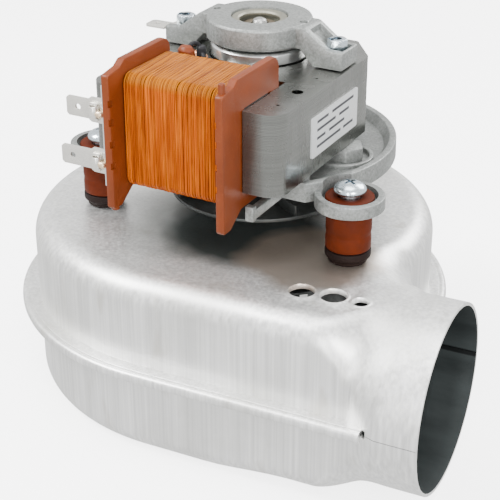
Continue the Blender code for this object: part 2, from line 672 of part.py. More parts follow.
# ---------------------------------------------------------------- rotor and impeller
def rotor():
    turned("shaft", [(0, SHAFT_TOP), (0.0014, SHAFT_TOP - 0.0002), (SHAFT_RADIUS, SHAFT_TOP - 0.0010),
                     (SHAFT_RADIUS, SHAFT_BOTTOM + 0.0005), (0.0020, SHAFT_BOTTOM), (0, SHAFT_BOTTOM)],
           GROUND_STEEL, sides=16)
    turned("rotor_core", ring(ROTOR_RADIUS, SHAFT_RADIUS + GAP, STACK_BOTTOM, STACK_TOP), LAMINATED_STEEL,
           sides=32)
    turned("upper_end_ring", ring(ROTOR_RADIUS - 0.0001, 0.0095, STACK_TOP + GAP, 0.1172), ROTOR_ALUMINIUM,
           sides=32)
    turned("lower_end_ring", ring(ROTOR_RADIUS - 0.0001, 0.0095, 0.0836, STACK_BOTTOM - GAP),
           ROTOR_ALUMINIUM, sides=32)
    turned("upper_thrust_washer", ring(0.0055, SHAFT_RADIUS + GAP, STACK_TOP + GAP, 0.1148), BLACK_SLEEVE)
    turned("lower_thrust_washer", ring(0.0055, SHAFT_RADIUS + GAP, 0.0836, STACK_BOTTOM - GAP),
           BLACK_SLEEVE)


def cooling_disc():
    disc = turned("cooling_disc", [(0.0055, 0.0702), (0.0055, 0.0664), (0.0300, 0.0664), (0.0300, 0.0655),
                                   (SHAFT_RADIUS + GAP, 0.0655), (SHAFT_RADIUS + GAP, 0.0702)],
                  ROTOR_ALUMINIUM, sides=32)
    for number in range(8):
        turn = 2 * math.pi * number / 8
        vane = box(f"cooling_vane_{number + 1}", (0.0160, -0.0004, 0.0660), (0.0290, 0.0004, 0.0700), turn=turn)
        weld_on(disc, vane)


def blade_outline():
    """Blade seen from above: a thin strip that leans back as it runs outwards."""
    steps = 4
    half = 0.0005
    sides = {1: [], -1: []}
    for step in range(steps + 1):
        share = step / steps
        radius = 0.0190 + (IMPELLER_RADIUS - 0.0195) * share
        lean = math.radians(-26) * share * share
        for side, points in sides.items():
            points.append((radius * math.cos(lean), radius * math.sin(lean) + side * half))
    return sides[-1] + list(reversed(sides[1]))


def impeller():
    high = IMPELLER_TOP
    low = high - SHEET
    wheel = turned("impeller_wheel", ring(IMPELLER_RADIUS, 0.0060, low, high), PRESSED_SHEET, sides=40)
    for number in range(BLADE_COUNT):
        turn = 2 * math.pi * number / BLADE_COUNT
        weld_on(wheel, plate(f"blade_{number + 1}", [blade_outline()], low - BLADE_HEIGHT, low + SHEET / 2,
                             turn=turn))
    shroud_top = low - BLADE_HEIGHT - GAP
    turned("impeller_shroud", ring(IMPELLER_RADIUS, 0.0330, shroud_top - SHEET, shroud_top), PRESSED_SHEET,
           sides=40)
    hub = [(0.0080, high + 0.0020), (0.0080, high + GAP), (0.0057, high + GAP), (0.0057, 0.0405),
           (SHAFT_RADIUS + GAP, 0.0405), (SHAFT_RADIUS + GAP, high + 0.0020)]
    turned("impeller_hub", hub, SINTERED_BRONZE, sides=20)
    nut = drum("impeller_nut", 0.0046, 0.0362, 0.0402, ZINC_PLATE, sides=6)
    cut(nut, drum("nut_bore", SHAFT_RADIUS + GAP, 0.03, 0.05))


housing()
dampers()
lower_bracket()
upper_bracket()
bearings()
bolts()
stator()
bobbin()
winding()
terminals()
rotor()
cooling_disc()
impeller()
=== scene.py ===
"""A gas boiler's flue-gas exhaust fan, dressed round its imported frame.

Lengths are metres. Pieces are laid out from the shaft: the origin is on its axis, at the height of
the duct's underside. The motor and its coil stand turned a little about that axis.
"""
import json
import math
from contextlib import contextmanager

import bmesh
import bpy
from bpy.props import FloatProperty, FloatVectorProperty, IntProperty, PointerProperty
from mathutils import Matrix, Vector
from mathutils.geometry import delaunay_2d_cdt


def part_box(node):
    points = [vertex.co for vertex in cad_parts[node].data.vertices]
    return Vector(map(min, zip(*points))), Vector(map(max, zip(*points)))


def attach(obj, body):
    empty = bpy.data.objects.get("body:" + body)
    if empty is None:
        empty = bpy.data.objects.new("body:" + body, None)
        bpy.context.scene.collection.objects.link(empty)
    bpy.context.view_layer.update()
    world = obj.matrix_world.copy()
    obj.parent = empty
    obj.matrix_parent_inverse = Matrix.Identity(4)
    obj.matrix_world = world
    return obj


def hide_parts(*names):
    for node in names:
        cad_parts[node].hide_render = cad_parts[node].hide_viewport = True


bl_info = {"name": "Boiler exhaust fan", "version": (1, 0, 0), "blender": (4, 5, 0),
           "location": "3D View > Sidebar > Exhaust Fan",
           "description": "Builds the housing, motor and wheel of a boiler exhaust fan round its frame",
           "category": "Object", }

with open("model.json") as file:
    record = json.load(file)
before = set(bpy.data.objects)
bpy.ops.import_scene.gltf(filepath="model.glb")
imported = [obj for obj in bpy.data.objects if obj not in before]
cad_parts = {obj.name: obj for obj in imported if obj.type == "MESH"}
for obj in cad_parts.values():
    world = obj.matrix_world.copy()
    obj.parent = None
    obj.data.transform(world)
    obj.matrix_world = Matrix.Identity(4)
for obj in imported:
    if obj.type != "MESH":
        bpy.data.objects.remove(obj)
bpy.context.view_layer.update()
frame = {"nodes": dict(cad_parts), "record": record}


def middle(node):
    low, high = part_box(node)
    return (low + high) / 2


HOUSING_HEIGHT = 0.060
HOUSING_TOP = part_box("upper_shell")[1].z
SHAFT = Vector((middle("shaft").x, middle("shaft").y, HOUSING_TOP - HOUSING_HEIGHT))
MOTOR_TURN = math.radians(-3)
ON_SHAFT = Matrix.Translation(SHAFT)
ON_MOTOR = ON_SHAFT @ Matrix.Rotation(MOTOR_TURN, 4, "Z")
TWO_SIDES = (("left", -1), ("right", 1))

# The scroll's plan, from the shaft.
DRUM_RADIUS = 0.0685
DRUM_CENTRE = Vector((-0.008, -0.003))
DRUM_FRONT = DRUM_CENTRE.y - DRUM_RADIUS
DISH_DEPTH = 0.0025
PRESS_RADIUS = 0.008
SEAM_HEIGHT = 0.030
OUTLET_RADIUS = 0.030
OUTLET_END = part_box("upper_shell")[1].x - SHAFT.x
OUTLET_AXIS_Y = -0.0468
DUCT_BACK = OUTLET_AXIS_Y + OUTLET_RADIUS
TONGUE_RADIUS = 0.007
INLET_RADIUS = 0.031
SHAFT_HOLE_RADIUS = 0.008
PRESSURE_TAPS = ((0.0393, -0.0537, 0.0040), (0.0491, -0.0525, 0.0041), (0.0578, -0.0527, 0.0025))

DAMPER_REACH = 0.0525
DAMPER_ANGLES = {"right": -33, "rear": 87, "left": 207}

STACK_BOTTOM, STACK_TOP = 0.087, 0.113
BOLT_REACH = 0.0277
BOSS_BOTTOM, BOSS_TOP = 0.1183, 0.1255


# ---------------------------------------------------------------- node trees
def out(node, name=None):
    """A node's named output, or its first one in use."""
    return next(s for s in node.outputs if s.enabled and (name is None or s.name.lower() == name))


class NodeTree:
    """What material trees and geometry trees share."""

    def add(self, kind, settings=None, sockets=None, **inputs):
        """Add a node. Inputs go by socket name in lower case, or by number in sockets."""
        node = self.tree.nodes.new(kind)
        for key, value in (settings or {}).items():
            setattr(node, key, value)
        wanted = [(node.inputs[number], value) for number, value in (sockets or {}).items()]
        for key, value in inputs.items():
            label = key.replace("_", " ")
            wanted.append((next(s for s in node.inputs if s.name.lower() == label and s.enabled), value))
        for socket, value in wanted:
            if isinstance(value, bpy.types.NodeSocket):
                self.tree.links.new(value, socket)
            else:
                socket.default_value = value
        return node

    def maths(self, operation, *values):
        return out(self.add("ShaderNodeMath", {"operation": operation}, dict(enumerate(values))))

    def vector(self, **parts):
        return out(self.add("ShaderNodeCombineXYZ", **parts))


class Recipe(NodeTree):
    """A Geometry Nodes tree with named inputs that ends in Realize Instances and Set Material."""

    def __init__(self, name, **inputs):
        self.tree = bpy.data.node_groups.new(name, "GeometryNodeTree")
        face = self.tree.interface
        face.new_socket("Geometry", in_out="INPUT", socket_type="NodeSocketGeometry")
        for label, kind in inputs.items():
            face.new_socket(label, in_out="INPUT", socket_type="NodeSocket" + kind)
        face.new_socket("Finish", in_out="INPUT", socket_type="NodeSocketMaterial")
        face.new_socket("Geometry", in_out="OUTPUT", socket_type="NodeSocketGeometry")
        self.given = self.tree.nodes.new("NodeGroupInput")

    def __getitem__(self, label):
        return self.given.outputs[label]

    def end(self, geometry):
        real = self.add("GeometryNodeRealizeInstances", geometry=geometry)
        dressed = self.add("GeometryNodeSetMaterial", geometry=out(real), material=self["Finish"])
        result = self.tree.nodes.new("NodeGroupOutput")
        self.tree.links.new(out(dressed), result.inputs[0])
        return self

    def use(self, item, **values):
        """Run the tree on an item and keep the result as a plain mesh."""
        modifier = item.modifiers.new(self.tree.name, "NODES")
        modifier.node_group = self.tree
        for socket in self.tree.interface.items_tree:
            if socket.in_out == "INPUT" and socket.name in values:
                modifier[socket.identifier] = values[socket.name]
        return settle(item)


def settle(item):
    """Swap an item for the plain mesh its modifiers make."""
    depsgraph = bpy.context.evaluated_depsgraph_get()
    mesh = bpy.data.meshes.new_from_object(item.evaluated_get(depsgraph))
    name = item.name
    bpy.data.objects.remove(item, do_unlink=True)
    mesh.name = name
    return link(name, mesh)


def unlinked(item):
    """An item's mesh; the item itself is removed."""
    mesh = item.data
    bpy.data.objects.remove(item)
    return mesh


def link(name, mesh):
    item = bpy.data.objects.new(name, mesh)
    bpy.context.scene.collection.objects.link(item)
    return item


# ---------------------------------------------------------------- shapes
def smooth(mesh, angle=40):
    mesh.shade_smooth()
    mesh.set_sharp_from_angle(angle=math.radians(angle))


@contextmanager
def edited(mesh):
    """A mesh opened for face work, and written back at the end."""
    shape = bmesh.new()
    shape.from_mesh(mesh)
    yield shape
    shape.to_mesh(mesh)
    shape.free()


def stitched(shape, rows, closed):
    """Join equal rows of points by four-sided faces; closed joins each row's ends too."""
    grid = [[shape.verts.new(point) for point in row] for row in rows]
    for one, two in zip(grid, grid[1:]):
        for index in range(0 if closed else 1, len(one)):
            shape.faces.new((one[index - 1], one[index], two[index], two[index - 1]))
    return grid


def cleaned(shape, weld, shortest):
    """Weld points that touch and drop faces without area."""
    bmesh.ops.remove_doubles(shape, verts=shape.verts, dist=weld)
    bmesh.ops.dissolve_degenerate(shape, edges=shape.edges, dist=shortest)


def from_faces(name, rows, closed=False, capped=False):
    """A skin over equal rows of points; capped fills the first and last."""
    mesh = bpy.data.meshes.new(name)
    with edited(mesh) as shape:
        grid = stitched(shape, rows, closed)
        if capped:
            shape.faces.new(grid[0])
            shape.faces.new(list(reversed(grid[-1])))
        cleaned(shape, 2e-6, 1e-6)
        bmesh.ops.recalc_face_normals(shape, faces=shape.faces)
    smooth(mesh)
    return mesh


def softened(outline, radius, steps=3, closed=True):
    """Round an outline's corners; a corner's own radius, as a third number, comes first."""
    points = []
    count = len(outline)
    for index, corner in enumerate(outline):
        here = Vector(corner[:2])
        wanted = corner[2] if len(corner) > 2 else radius
        if wanted == 0 or (not closed and index in (0, count - 1)):
            points.append(here)
            continue
        before = Vector(outline[index - 1][:2]) - here
        after = Vector(outline[(index + 1) % count][:2]) - here
        half = before.angle(after) / 2
        if half > math.radians(88):
            points.append(here)
            continue
        back = min(wanted / math.tan(half), before.length * 0.49, after.length * 0.49)
        reach = back * math.tan(half)
        centre = here + (before.normalized() + after.normalized()).normalized() * reach / math.sin(half)
        start = here + before.normalized() * back - centre
        end = here + after.normalized() * back - centre
        sweep = math.atan2(start.x * end.y - start.y * end.x, start.dot(end))
        for step in range(steps + 1):
            points.append(centre + Matrix.Rotation(sweep * step / steps, 2) @ start)
    return points


def full_turn(count):
    """Angles spread evenly round a circle."""
    return [2 * math.pi * step / count for step in range(count)]


def heading(turn):
    return Vector((math.cos(turn), math.sin(turn)))


def circle(radius, x=0.0, y=0.0, sides=32):
    return [Vector((x + radius * math.cos(turn), y + radius * math.sin(turn))) for turn in full_turn(sides)]


def lathe(name, profile, edge=0.0003, sides=64):
    """Revolve a (radius, height) outline about Z, its corners softened."""
    on_axis = min(point[0] for point in profile) <= 0
    points = softened(profile, edge, closed=not on_axis)
    rows = [[Vector((point[0] * math.cos(turn), point[0] * math.sin(turn), point[1])) for point in points]
            for turn in (2 * math.pi * step / sides for step in range(sides + 1))]
    return from_faces(name, rows, closed=not on_axis)


def tube(name, inner, outer, low, high, edge=0.0003, sides=64):
    """A lathed tube with square ends, or a plain cylinder where inner is 0."""
    return lathe(name, [(inner, high), (outer, high), (outer, low), (inner, low)], edge, sides)


def slab(name, outlines, low, high, edge=0.0):
    """Flat outlines, the later ones holes, made thick from low to high."""
    curve = bpy.data.curves.new(name, "CURVE")
    curve.dimensions = "2D"
    curve.fill_mode = "BOTH"
    curve.extrude = (high - low) / 2
    for outline in outlines:
        spline = curve.splines.new("POLY")
        spline.points.add(len(outline) - 1)
        for point, (x, y) in zip(spline.points, outline):
            point.co = (x, y, 0, 1)
        spline.use_cyclic_u = True
    mesh = unlinked(settle(link(name, curve)))
    mesh.transform(Matrix.Translation((0, 0, (low + high) / 2)))
    with edited(mesh) as shape:
        bmesh.ops.remove_doubles(shape, verts=shape.verts, dist=2e-6)
        bmesh.ops.dissolve_limit(shape, angle_limit=math.radians(0.5), verts=shape.verts, edges=shape.edges)
        bmesh.ops.recalc_face_normals(shape, faces=shape.faces)
    mesh.materials.clear()
    smooth(mesh)
    return bevelled(mesh, edge) if edge else mesh


def block(name, low, high, edge=0.0):
    corners = [(low[0], low[1]), (high[0], low[1]), (high[0], high[1]), (low[0], high[1])]
    rows = [[Vector((x, y, z)) for x, y in corners] for z in (low[2], high[2])]
    mesh = from_faces(name, rows, closed=True, capped=True)
    return bevelled(mesh, edge) if edge else mesh


def bevelled(mesh, width, segments=2, angle=35):
    item = link(mesh.name, mesh)
    bevel = item.modifiers.new("soft_edges", "BEVEL")
    bevel.width = width
    bevel.segments = segments
    bevel.limit_method = "ANGLE"
    bevel.angle_limit = math.radians(angle)
    bevel.use_clamp_overlap = True
    mesh = unlinked(settle(item))
    smooth(mesh)
    return mesh


class Solid:
    """A mesh that others are joined to, cut from or crossed with, one at a time."""

    def __init__(self, mesh):
        self.mesh = mesh

    def step(self, operation, other):
        item = link(self.mesh.name, self.mesh)
        helper = link("cutter", other)
        modifier = item.modifiers.new(operation, "BOOLEAN")
        modifier.operation = operation
        modifier.solver = "EXACT"
        modifier.object = helper
        self.mesh = unlinked(settle(item))
        bpy.data.objects.remove(helper)
        with edited(self.mesh) as shape:
            cleaned(shape, 5e-6, 2e-6)

    def join(self, other, x=0.0, y=0.0, turn=0.0):
        self.step("UNION", moved(other, x, y, turn=turn))

    def cut(self, other, x=0.0, y=0.0):
        self.step("DIFFERENCE", moved(other, x, y))


def moved(mesh, x=0.0, y=0.0, z=0.0, turn=0.0):
    mesh.transform(Matrix.Translation((x, y, z)) @ Matrix.Rotation(turn, 4, "Z"))
    return mesh


def side_on(mesh):
    """Stand an (y, z) outline up so that its thickness runs along X."""
    mesh.transform(Matrix(((0, 0, 1, 0), (1, 0, 0, 0), (0, 1, 0, 0), (0, 0, 0, 1))))
    return mesh


def front_on(mesh):
    """Stand an (x, z) outline up so that its thickness runs along Y."""
    mesh.transform(Matrix(((1, 0, 0, 0), (0, 0, -1, 0), (0, 1, 0, 0), (0, 0, 0, 1))))
    return mesh


def joined(name, *meshes):
    """Several shells kept side by side in one mesh."""
    result = bpy.data.meshes.new(name)
    with edited(result) as shape:
        for mesh in meshes:
            shape.from_mesh(mesh)
    smooth(result)
    return result


def strand(name, route, radius):
    """A round lead through points, smoothed into a curve."""
    curve = bpy.data.curves.new(name, "CURVE")
    curve.dimensions = "3D"
    curve.bevel_depth = radius
    curve.bevel_resolution = 3
    curve.use_fill_caps = True
    curve.resolution_u = 8
    spline = curve.splines.new("NURBS")
    spline.points.add(len(route) - 1)
    for point, place in zip(spline.points, route):
        point.co = (*place, 1)
    spline.use_endpoint_u = True
    spline.order_u = 4
    mesh = unlinked(settle(link(name, curve)))
    mesh.materials.clear()
    smooth(mesh, 60)
    return mesh


def placed(name, mesh, stands_for=(), body="fan_body", place=ON_SHAFT):
    """Put a mesh that has its materials in its place, as a piece of the fan."""
    mesh.transform(place)
    mesh.name = name
    item = link(name, mesh)
    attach(item, body)
    if stands_for:
        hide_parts(*stands_for)


def piece(name, mesh, slot, *stands_for, finish=None, body="fan_body", place=ON_MOTOR):
    """A piece in its slot's finish, or in another one."""
    mesh.materials.clear()
    mesh.materials.append(finish_of(finish or slot))
    placed(name, mesh, stands_for, body, place)


def turning_piece(name, mesh, slot, stands_for, finish=None):
    """A piece that turns with the shaft."""
    piece(name, mesh, slot, stands_for, finish=finish, body="rotor", place=ON_SHAFT)


# ---------------------------------------------------------------- finishes
def finish_of(slot):
    """The fan's own material for a slot, made the first time it is asked for."""
    name = "finished_" + slot
    return bpy.data.materials.get(name) or FINISHES[slot](name, bpy.context.scene.fan_colours)


class Surface(NodeTree):
    """A Principled material with object coordinates to hang patterns on."""

    def __init__(self, name, metallic, roughness, specular=0.5):
        self.material = bpy.data.materials.new(name)
        self.material.use_nodes = True
        self.tree = self.material.node_tree
        self.shader = self.tree.nodes["Principled BSDF"]
        self.shader.inputs["Metallic"].default_value = metallic
        self.shader.inputs["Roughness"].default_value = roughness
        self.shader.inputs["Specular IOR Level"].default_value = specular
        self.place = out(self.add("ShaderNodeTexCoord"), "object")

    def noise(self, scale, stretch=(1, 1, 1), detail=4.0, roughness=0.55):
        place = out(self.add("ShaderNodeMapping", vector=self.place, scale=stretch))
        return out(self.add("ShaderNodeTexNoise", vector=place, scale=scale, detail=detail,
                            roughness=roughness), "fac")

    def span(self, value, low, high, to_low=0.0, to_high=1.0):
        return out(self.add("ShaderNodeMapRange", value=value, from_min=low, from_max=high, to_min=to_low,
                            to_max=to_high))

    def blend(self, factor, one, two):
        return out(self.add("ShaderNodeMix", {"data_type": "RGBA"}, factor=factor, a=one, b=two))

    def fade(self, value, low, high, most, one, two):
        """One colour that gives way to another as a value grows from low to high."""
        return self.blend(self.span(value, low, high, 0.0, most), one, two)

    def colour(self, value):
        self.tree.links.new(value, self.shader.inputs["Base Color"])

    def rough(self, value):
        self.tree.links.new(value, self.shader.inputs["Roughness"])

    def bump(self, height, strength, distance):
        bump = self.add("ShaderNodeBump", height=height, strength=strength, distance=distance)
        self.tree.links.new(out(bump), self.shader.inputs["Normal"])


def tone(colour, factor=1.0):
    return (*[channel * factor for channel in colour[:3]], 1.0)


def pressed_sheet(name, colours):
    """Aluminised sheet: soft streaks drawn up the walls, faint stains, and a painted shadow and painted
    reflection of the motor on the top round the shaft.
    """
    surface = Surface(name, 0.86, 0.4)
    base = colours.pressed_sheet
    streaks = surface.noise(900, (1, 1, 0.012), detail=3)
    clouds = surface.noise(26, detail=5)
    grain = surface.noise(1500, detail=2)
    shade = surface.fade(streaks, 0.3, 0.72, 1.0, tone(base, 0.78), tone(base, 1.08))
    shade = surface.fade(clouds, 0.44, 0.72, 0.5, shade, tone((0.50, 0.50, 0.465)))
    spots = surface.noise(95, (1, 1, 0.35), detail=3)
    shade = surface.fade(spots, 0.62, 0.74, 0.45, shade, tone((0.50, 0.47, 0.40)))
    # The three soft patches round the shaft are painted shadow of the motor on the top: grey at the left,
    # near black under the motor, and brown at the right. The brown one is also a painted reflection of the
    # orange coil.
    for x, y, solid, edge, most, painted_shadow_colour in ((-0.012, -0.022, 0.014, 0.032, 0.75, (0.19, 0.195, 0.185, 1)),
                                           (0.006, -0.022, 0.020, 0.030, 0.95, (0.060, 0.075, 0.071, 1)),
                                           (0.033, -0.033, 0.018, 0.024, 0.90, (0.46, 0.385, 0.32, 1))):
        away = surface.add("ShaderNodeVectorMath", {"operation": "DISTANCE"},
                           {0: surface.place, 1: (SHAFT.x + x, SHAFT.y + y, HOUSING_TOP)})
        ragged = surface.maths("MULTIPLY_ADD", surface.noise(45, detail=2), 0.014, out(away, "value"))
        shade = surface.fade(ragged, edge + 0.007, solid + 0.007, most, shade, painted_shadow_colour)
    surface.colour(shade)
    dull = surface.maths("ADD", surface.span(streaks, 0.25, 0.75, 0.33, 0.47),
                         surface.span(clouds, 0.3, 0.7, -0.03, 0.06))
    surface.rough(dull)
    height = surface.maths("ADD", surface.maths("MULTIPLY", streaks, 0.6),
                           surface.maths("MULTIPLY", grain, 0.3))
    surface.bump(height, 0.12, 0.00012)
    return surface.material


def cast_alloy(name, colours):
    """Die-cast alloy: granular, with darker pores and paler rubbed patches."""
    surface = Surface(name, 0.72, 0.5)
    base = colours.cast_alloy
    grain = surface.noise(1100, detail=5, roughness=0.7)
    patches = surface.noise(120, detail=4)
    shade = surface.fade(grain, 0.32, 0.66, 1.0, tone(base, 0.62), tone(base, 1.3))
    shade = surface.fade(patches, 0.4, 0.7, 0.5, shade, tone(base, 0.7))
    surface.colour(shade)
    surface.rough(surface.span(patches, 0.3, 0.7, 0.42, 0.58))
    surface.bump(grain, 0.5, 0.00014)
    return surface.material


def laminated_steel(name, colours):
    """Punched electrical steel: each sheet's cut edge a little different, with faint oil marks."""
    surface = Surface(name, 1.0, 0.26)
    surface.shader.inputs["Anisotropic"].default_value = 0.8
    base = colours.laminated_steel
    sheets = surface.noise(1000, (0.01, 0.01, 2.2), detail=1)
    marks = surface.noise(140, (1, 1, 0.3), detail=4)
    shade = surface.fade(sheets, 0.35, 0.65, 1.0, tone(base, 0.93), tone(base, 1.05))
    shade = surface.fade(marks, 0.5, 0.75, 0.3, shade, tone(base, 0.7))
    surface.colour(shade)
    surface.rough(surface.span(marks, 0.3, 0.7, 0.2, 0.32))
    surface.bump(surface.noise(2200, detail=2), 0.08, 0.00006)
    return surface.material


def bobbin_nylon(name, colours):
    """Glass-filled nylon: warm terracotta with a faint grain and paler scuffs."""
    surface = Surface(name, 0.0, 0.42, 0.28)
    base = colours.bobbin_nylon
    flow = surface.noise(70, detail=4)
    grain = surface.noise(1600, detail=3)
    shade = surface.fade(flow, 0.35, 0.7, 1.0, tone(base, 0.84), tone(base, 1.16))
    shade = surface.fade(grain, 0.6, 0.75, 0.22, shade, (0.30, 0.085, 0.028, 1))
    surface.colour(shade)
    surface.rough(surface.span(flow, 0.3, 0.7, 0.36, 0.5))
    surface.bump(grain, 0.18, 0.00008)
    surface.shader.inputs["Subsurface Weight"].default_value = 0.05
    surface.shader.inputs["Subsurface Scale"].default_value = 0.002
    return surface.material


def enamelled_wire(name, colours):
    """Enamelled copper: every turn its own amber, under a clear glossy coat, with painted highlight streaks
    along the turns and a painted-light colour on the winding's top.
    """
    surface = Surface(name, 0.0, 0.42, 0.08)
    base = colours.enamelled_wire
    turns = surface.noise(1000, (2.6, 0.02, 0.02), detail=1)
    along = surface.noise(60, (6, 1, 1), detail=3)
    shade = surface.fade(turns, 0.32, 0.68, 1.0, tone((0.10, 0.012, 0.0003)), tone(base))
    # Paler amber patches stretched along the turns are painted highlight streaks.
    shade = surface.fade(along, 0.45, 0.75, 0.45, shade, (0.70, 0.18, 0.001, 1))
    # The winding's top, picked out by height, gets its own darker, yellower amber tuned to the strong light
    # falling there: painted light, not a change in the wire.
    height = out(surface.add("ShaderNodeSeparateXYZ", vector=surface.place), "z")
    top_light_mask = surface.span(height, SHAFT.z + 0.1155, SHAFT.z + 0.1178, 0.0, 0.9)
    painted_top_light = surface.fade(turns, 0.3, 0.6, 1.0, (0.13, 0.026, 0.0002, 1), (0.36, 0.120, 0.0002, 1))
    surface.colour(surface.blend(top_light_mask, shade, painted_top_light))
    surface.rough(surface.span(along, 0.3, 0.7, 0.34, 0.48))
    return surface.material


def sooted_sheet(name, colours):
    """The housing's inside: a near-black colour that paints the shade inside the housing, darkest along the
    seam.
    """
    surface = Surface(name, 0.3, 0.6, 0.3)
    drift = surface.noise(90, (0.3, 1, 1), detail=5)
    shade = surface.fade(drift, 0.3, 0.7, 1.0, (0.018, 0.022, 0.022, 1), (0.042, 0.050, 0.050, 1))
    height = out(surface.add("ShaderNodeSeparateXYZ", vector=surface.place), "z")
    off = surface.maths("ABSOLUTE", surface.maths("SUBTRACT", height, SHAFT.z + SEAM_HEIGHT))
    surface.colour(surface.blend(surface.span(off, 0.0006, 0.0010, 1.0, 0.0), shade,
                                 (0.004, 0.005, 0.005, 1)))
    surface.rough(surface.span(drift, 0.3, 0.7, 0.5, 0.7))
    surface.bump(surface.noise(700, detail=3), 0.15, 0.0001)
    return surface.material


def moulded(base, roughness, grain_scale, strength, lift=1.15):
    """A maker of plain moulded finishes: a mottled colour and a fine grain."""
    def make(name, colours):
        surface = Surface(name, 0.0, roughness, 0.12)
        patches = surface.noise(180, detail=4)
        surface.colour(surface.fade(patches, 0.35, 0.68, 1.0, tone(base, 0.82), tone(base, lift)))
        surface.rough(surface.span(patches, 0.3, 0.7, roughness - 0.06, roughness + 0.1))
        surface.bump(surface.noise(grain_scale, detail=3), strength, 0.00008)
        return surface.material
    return make


def metal(base, roughness, brushed=(1, 1, 1), worn=0.8, metallic=1.0):
    """A maker of plain metal finishes: fine marks that run one way, and duller worn patches."""
    def make(name, colours):
        surface = Surface(name, metallic, roughness)
        marks = surface.noise(1400, brushed, detail=3)
        patches = surface.noise(160, detail=3)
        shade = surface.fade(marks, 0.35, 0.68, 1.0, tone(base, 0.86), tone(base, 1.05))
        surface.colour(surface.fade(patches, 0.52, 0.78, 0.5, shade, tone(base, worn)))
        surface.rough(surface.span(patches, 0.3, 0.7, roughness * 0.8, roughness * 1.35))
        surface.bump(marks, 0.06, 0.00006)
        return surface.material
    return make


FINISHES = {"pressed_sheet": pressed_sheet, "cast_alloy": cast_alloy, "laminated_steel": laminated_steel,
            "bobbin_nylon": bobbin_nylon, "enamelled_wire": enamelled_wire,
            "damper_rubber": moulded((0.068, 0.009, 0.0006), 0.6, 500, 0.2, 1.25),
            "dark_rubber": moulded((0.010, 0.005, 0.004), 0.6, 700, 0.35),
            "black_plastic": moulded((0.018, 0.018, 0.02), 0.24, 900, 0.1, 1.4),
            # The dark brown for the coil's core paints the shade between the turns, and the near-black inside
            # sheet paints the shade inside the housing.
            "varnish": moulded((0.05, 0.007, 0.001), 0.4, 900, 0.1), "sooted_sheet": sooted_sheet,
            "dipped_steel": metal((0.035, 0.032, 0.028), 0.5, metallic=0.4),
            # The wheel's dark grey is painted shade: the render's light reaches the wheel through the open
            # inlet from below, where the real wheel sits in shade.
            "sooted_wheel": metal((0.15, 0.155, 0.15), 0.5, worn=0.6, metallic=0.7),
            "smoked_aluminium": metal((0.055, 0.060, 0.058), 0.45, (1, 1, 7), 0.7, 0.6),
            "passivated_steel": metal((0.27, 0.26, 0.21), 0.4, metallic=0.8),
            "label_foil": metal((0.62, 0.63, 0.63), 0.42, (1, 1, 8), 0.92, 0.35),
            "label_ink": moulded((0.06, 0.06, 0.065), 0.5, 900, 0.05),
            "zinc_plate": metal((0.72, 0.80, 0.86), 0.2, worn=0.82), "tinned_brass": metal((0.84, 0.82, 0.76),
                                                                                           0.3, (1, 1, 6),
                                                                                           0.78, 0.9),
            "solder": metal((0.80, 0.62, 0.42), 0.34, worn=0.6, metallic=0.9),
            "copper": metal((0.86, 0.42, 0.25), 0.3, (4, 4, 1)), "sintered_bronze": metal((0.17, 0.14, 0.10),
                                                                                          0.5, worn=0.7),
            "ground_steel": metal((0.50, 0.50, 0.48), 0.3, (1, 1, 9)),
            "rotor_aluminium": metal((0.80, 0.81, 0.80), 0.3, (1, 1, 7), 0.85), }


# ---------------------------------------------------------------- housing
def ease(value):
    value = min(max(value, 0.0), 1.0)
    return value * value * (3 - 2 * value)


def duct_front(x):
    """Y of the duct's front wall, which steps out to the round outlet."""
    wall = DRUM_FRONT - 0.0004 * ease((x - DRUM_CENTRE.x) / 0.07)
    return wall + (OUTLET_AXIS_Y - OUTLET_RADIUS - wall) * ease((x - 0.061) / 0.012)


def duct_radius(x):
    """How far the duct's edges are rounded: pressed like the drum's, growing to the full circle."""
    return PRESS_RADIUS + (OUTLET_RADIUS - PRESS_RADIUS) * ease((x - 0.050) / 0.023)


def scroll_plan():
    """(wall point, way in, edge radius) stations along the wall: front of the outlet, round, to its back."""
    plan = []
    steps = [OUTLET_END, 0.082, 0.078, 0.0745] + [0.073 - 0.0008 * n for n in range(29)] + \
            [0.0475, 0.042, 0.036, 0.030, 0.024, 0.018, 0.012, 0.006, 0.001, -0.004]
    for x in steps:
        plan.append((Vector((x, duct_front(x))), Vector((0, 1)), duct_radius(x)))
    tongue = Vector((0, DUCT_BACK + TONGUE_RADIUS))
    reach = DRUM_RADIUS + TONGUE_RADIUS
    tongue.x = DRUM_CENTRE.x + math.sqrt(reach ** 2 - (tongue.y - DRUM_CENTRE.y) ** 2)
    meet = math.atan2(tongue.y - DRUM_CENTRE.y, tongue.x - DRUM_CENTRE.x)
    first, last = math.radians(270), meet
    count = 132
    for step in range(count + 1):
        turn = first + (last - first) * step / count
        ray = heading(turn)
        plan.append((DRUM_CENTRE + ray * DRUM_RADIUS, -ray, PRESS_RADIUS))
    start, end = meet + math.pi, math.radians(270)
    full = duct_radius(tongue.x)
    for step in range(1, 19):
        share = step / 18
        turn = start + (end - start) * share
        ray = heading(turn)
        plan.append((tongue + ray * TONGUE_RADIUS, ray, PRESS_RADIUS + (full - PRESS_RADIUS) * ease(share)))
    for x in [tongue.x + 0.0009 * n for n in range(1, 7)] + [0.073, 0.0745, 0.078, 0.082, OUTLET_END]:
        plan.append((Vector((x, DUCT_BACK)), Vector((0, -1)), duct_radius(x)))
    return plan


def floor_at(point):
    """Height of the underside: dished over the drum, level under the duct."""
    beyond = (point - DRUM_CENTRE).length - DRUM_RADIUS + PRESS_RADIUS
    return -DISH_DEPTH * (1 - ease(beyond / 0.010) * ease((point.x - 0.010) / 0.035))


